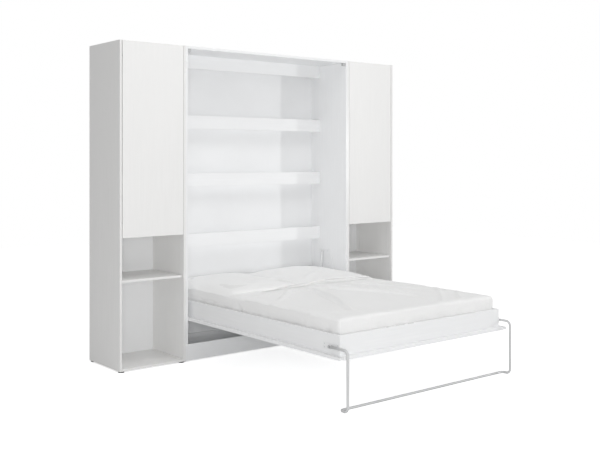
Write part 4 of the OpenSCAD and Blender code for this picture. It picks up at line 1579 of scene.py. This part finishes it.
class WALLBED_OT_boards(bpy.types.Operator):
    """Give the boards, backs and slats their finish and soft edges"""

    bl_idname = "wallbed.boards"
    bl_label = "Boards"
    bl_options = {"REGISTER", "UNDO"}

    def execute(self, context):
        finish_boards()
        return {"FINISHED"}


class WALLBED_OT_bands(bpy.types.Operator):
    """Add the edge bands on the boards' open edges"""

    bl_idname = "wallbed.bands"
    bl_label = "Edge Bands"
    bl_options = {"REGISTER", "UNDO"}

    def execute(self, context):
        finish_bands()
        return {"FINISHED"}


class WALLBED_OT_hardware(bpy.types.Operator):
    """Give the plates, pins, struts, hinges and glides their finish"""

    bl_idname = "wallbed.hardware"
    bl_label = "Hardware"
    bl_options = {"REGISTER", "UNDO"}

    def execute(self, context):
        finish_hardware()
        return {"FINISHED"}


class WALLBED_OT_fasteners(bpy.types.Operator):
    """Add the screws, nails and cover caps"""

    bl_idname = "wallbed.fasteners"
    bl_label = "Fasteners"
    bl_options = {"REGISTER", "UNDO"}

    def execute(self, context):
        for side, sign in SIDES:
            plate_screws(side, sign)
        back_nails()
        cover_caps()
        hinge_screws()
        frame_screws()
        return {"FINISHED"}


class WALLBED_OT_slat_holders(bpy.types.Operator):
    """Add the holders at the slats' ends"""

    bl_idname = "wallbed.slat_holders"
    bl_label = "Slat Holders"
    bl_options = {"REGISTER", "UNDO"}

    def execute(self, context):
        slat_holders()
        return {"FINISHED"}


class WALLBED_OT_struts(bpy.types.Operator):
    """Add the collars and seals of the gas struts"""

    bl_idname = "wallbed.struts"
    bl_label = "Strut Fittings"
    bl_options = {"REGISTER", "UNDO"}

    def execute(self, context):
        strut_fittings()
        return {"FINISHED"}


class WALLBED_OT_leg(bpy.types.Operator):
    """Bend the tube of the folding leg"""

    bl_idname = "wallbed.leg"
    bl_label = "Folding Leg"
    bl_options = {"REGISTER", "UNDO"}

    def execute(self, context):
        make_leg()
        return {"FINISHED"}


class WALLBED_OT_mattress(bpy.types.Operator):
    """Make the quilted mattress"""

    bl_idname = "wallbed.mattress"
    bl_label = "Mattress"
    bl_options = {"REGISTER", "UNDO"}

    def execute(self, context):
        make_mattress()
        return {"FINISHED"}


class WALLBED_OT_pillows(bpy.types.Operator):
    """Make the two pillows"""

    bl_idname = "wallbed.pillows"
    bl_label = "Pillows"
    bl_options = {"REGISTER", "UNDO"}

    def execute(self, context):
        make_pillows()
        return {"FINISHED"}


class WALLBED_OT_cover(bpy.types.Operator):
    """Drape the cover over the mattress and the pillows"""

    bl_idname = "wallbed.cover"
    bl_label = "Bed Cover"
    bl_options = {"REGISTER", "UNDO"}

    def execute(self, context):
        make_cover()
        return {"FINISHED"}


MAKERS = (
    WALLBED_OT_stage,
    WALLBED_OT_boards,
    WALLBED_OT_bands,
    WALLBED_OT_hardware,
    WALLBED_OT_fasteners,
    WALLBED_OT_slat_holders,
    WALLBED_OT_struts,
    WALLBED_OT_leg,
    WALLBED_OT_mattress,
    WALLBED_OT_pillows,
    WALLBED_OT_cover,
)


class WALLBED_PT_panel(bpy.types.Panel):
    """Wall bed settings and makers"""

    bl_idname = "WALLBED_PT_panel"
    bl_label = "Wall Bed"
    bl_space_type = "VIEW_3D"
    bl_region_type = "UI"
    bl_category = "Wall Bed"

    def draw(self, context):
        for name, group in SETTINGS.items():
            box = self.layout.box()
            for prop in group.__annotations__:
                box.prop(getattr(context.scene, name), prop)
        for maker in MAKERS:
            self.layout.operator(maker.bl_idname)


SETTINGS = {
    "wall_bed_boards": WallBedBoards,
    "wall_bed_bedding": WallBedBedding,
    "wall_bed_leg": WallBedLeg,
    "wall_bed_stage": WallBedStage,
}


def register():
    for name, group in SETTINGS.items():
        bpy.utils.register_class(group)
        setattr(bpy.types.Scene, name, PointerProperty(type=group))
    for item in (*MAKERS, WALLBED_PT_panel):
        bpy.utils.register_class(item)


def unregister():
    for item in reversed((*MAKERS, WALLBED_PT_panel)):
        bpy.utils.unregister_class(item)
    for name, group in SETTINGS.items():
        delattr(bpy.types.Scene, name)
        bpy.utils.unregister_class(group)


def main():
    """Make everything."""
    register()
    for maker in MAKERS:
        category, name = maker.bl_idname.split(".")
        getattr(getattr(bpy.ops, category), name)()


if __name__ == "__main__":
    main()
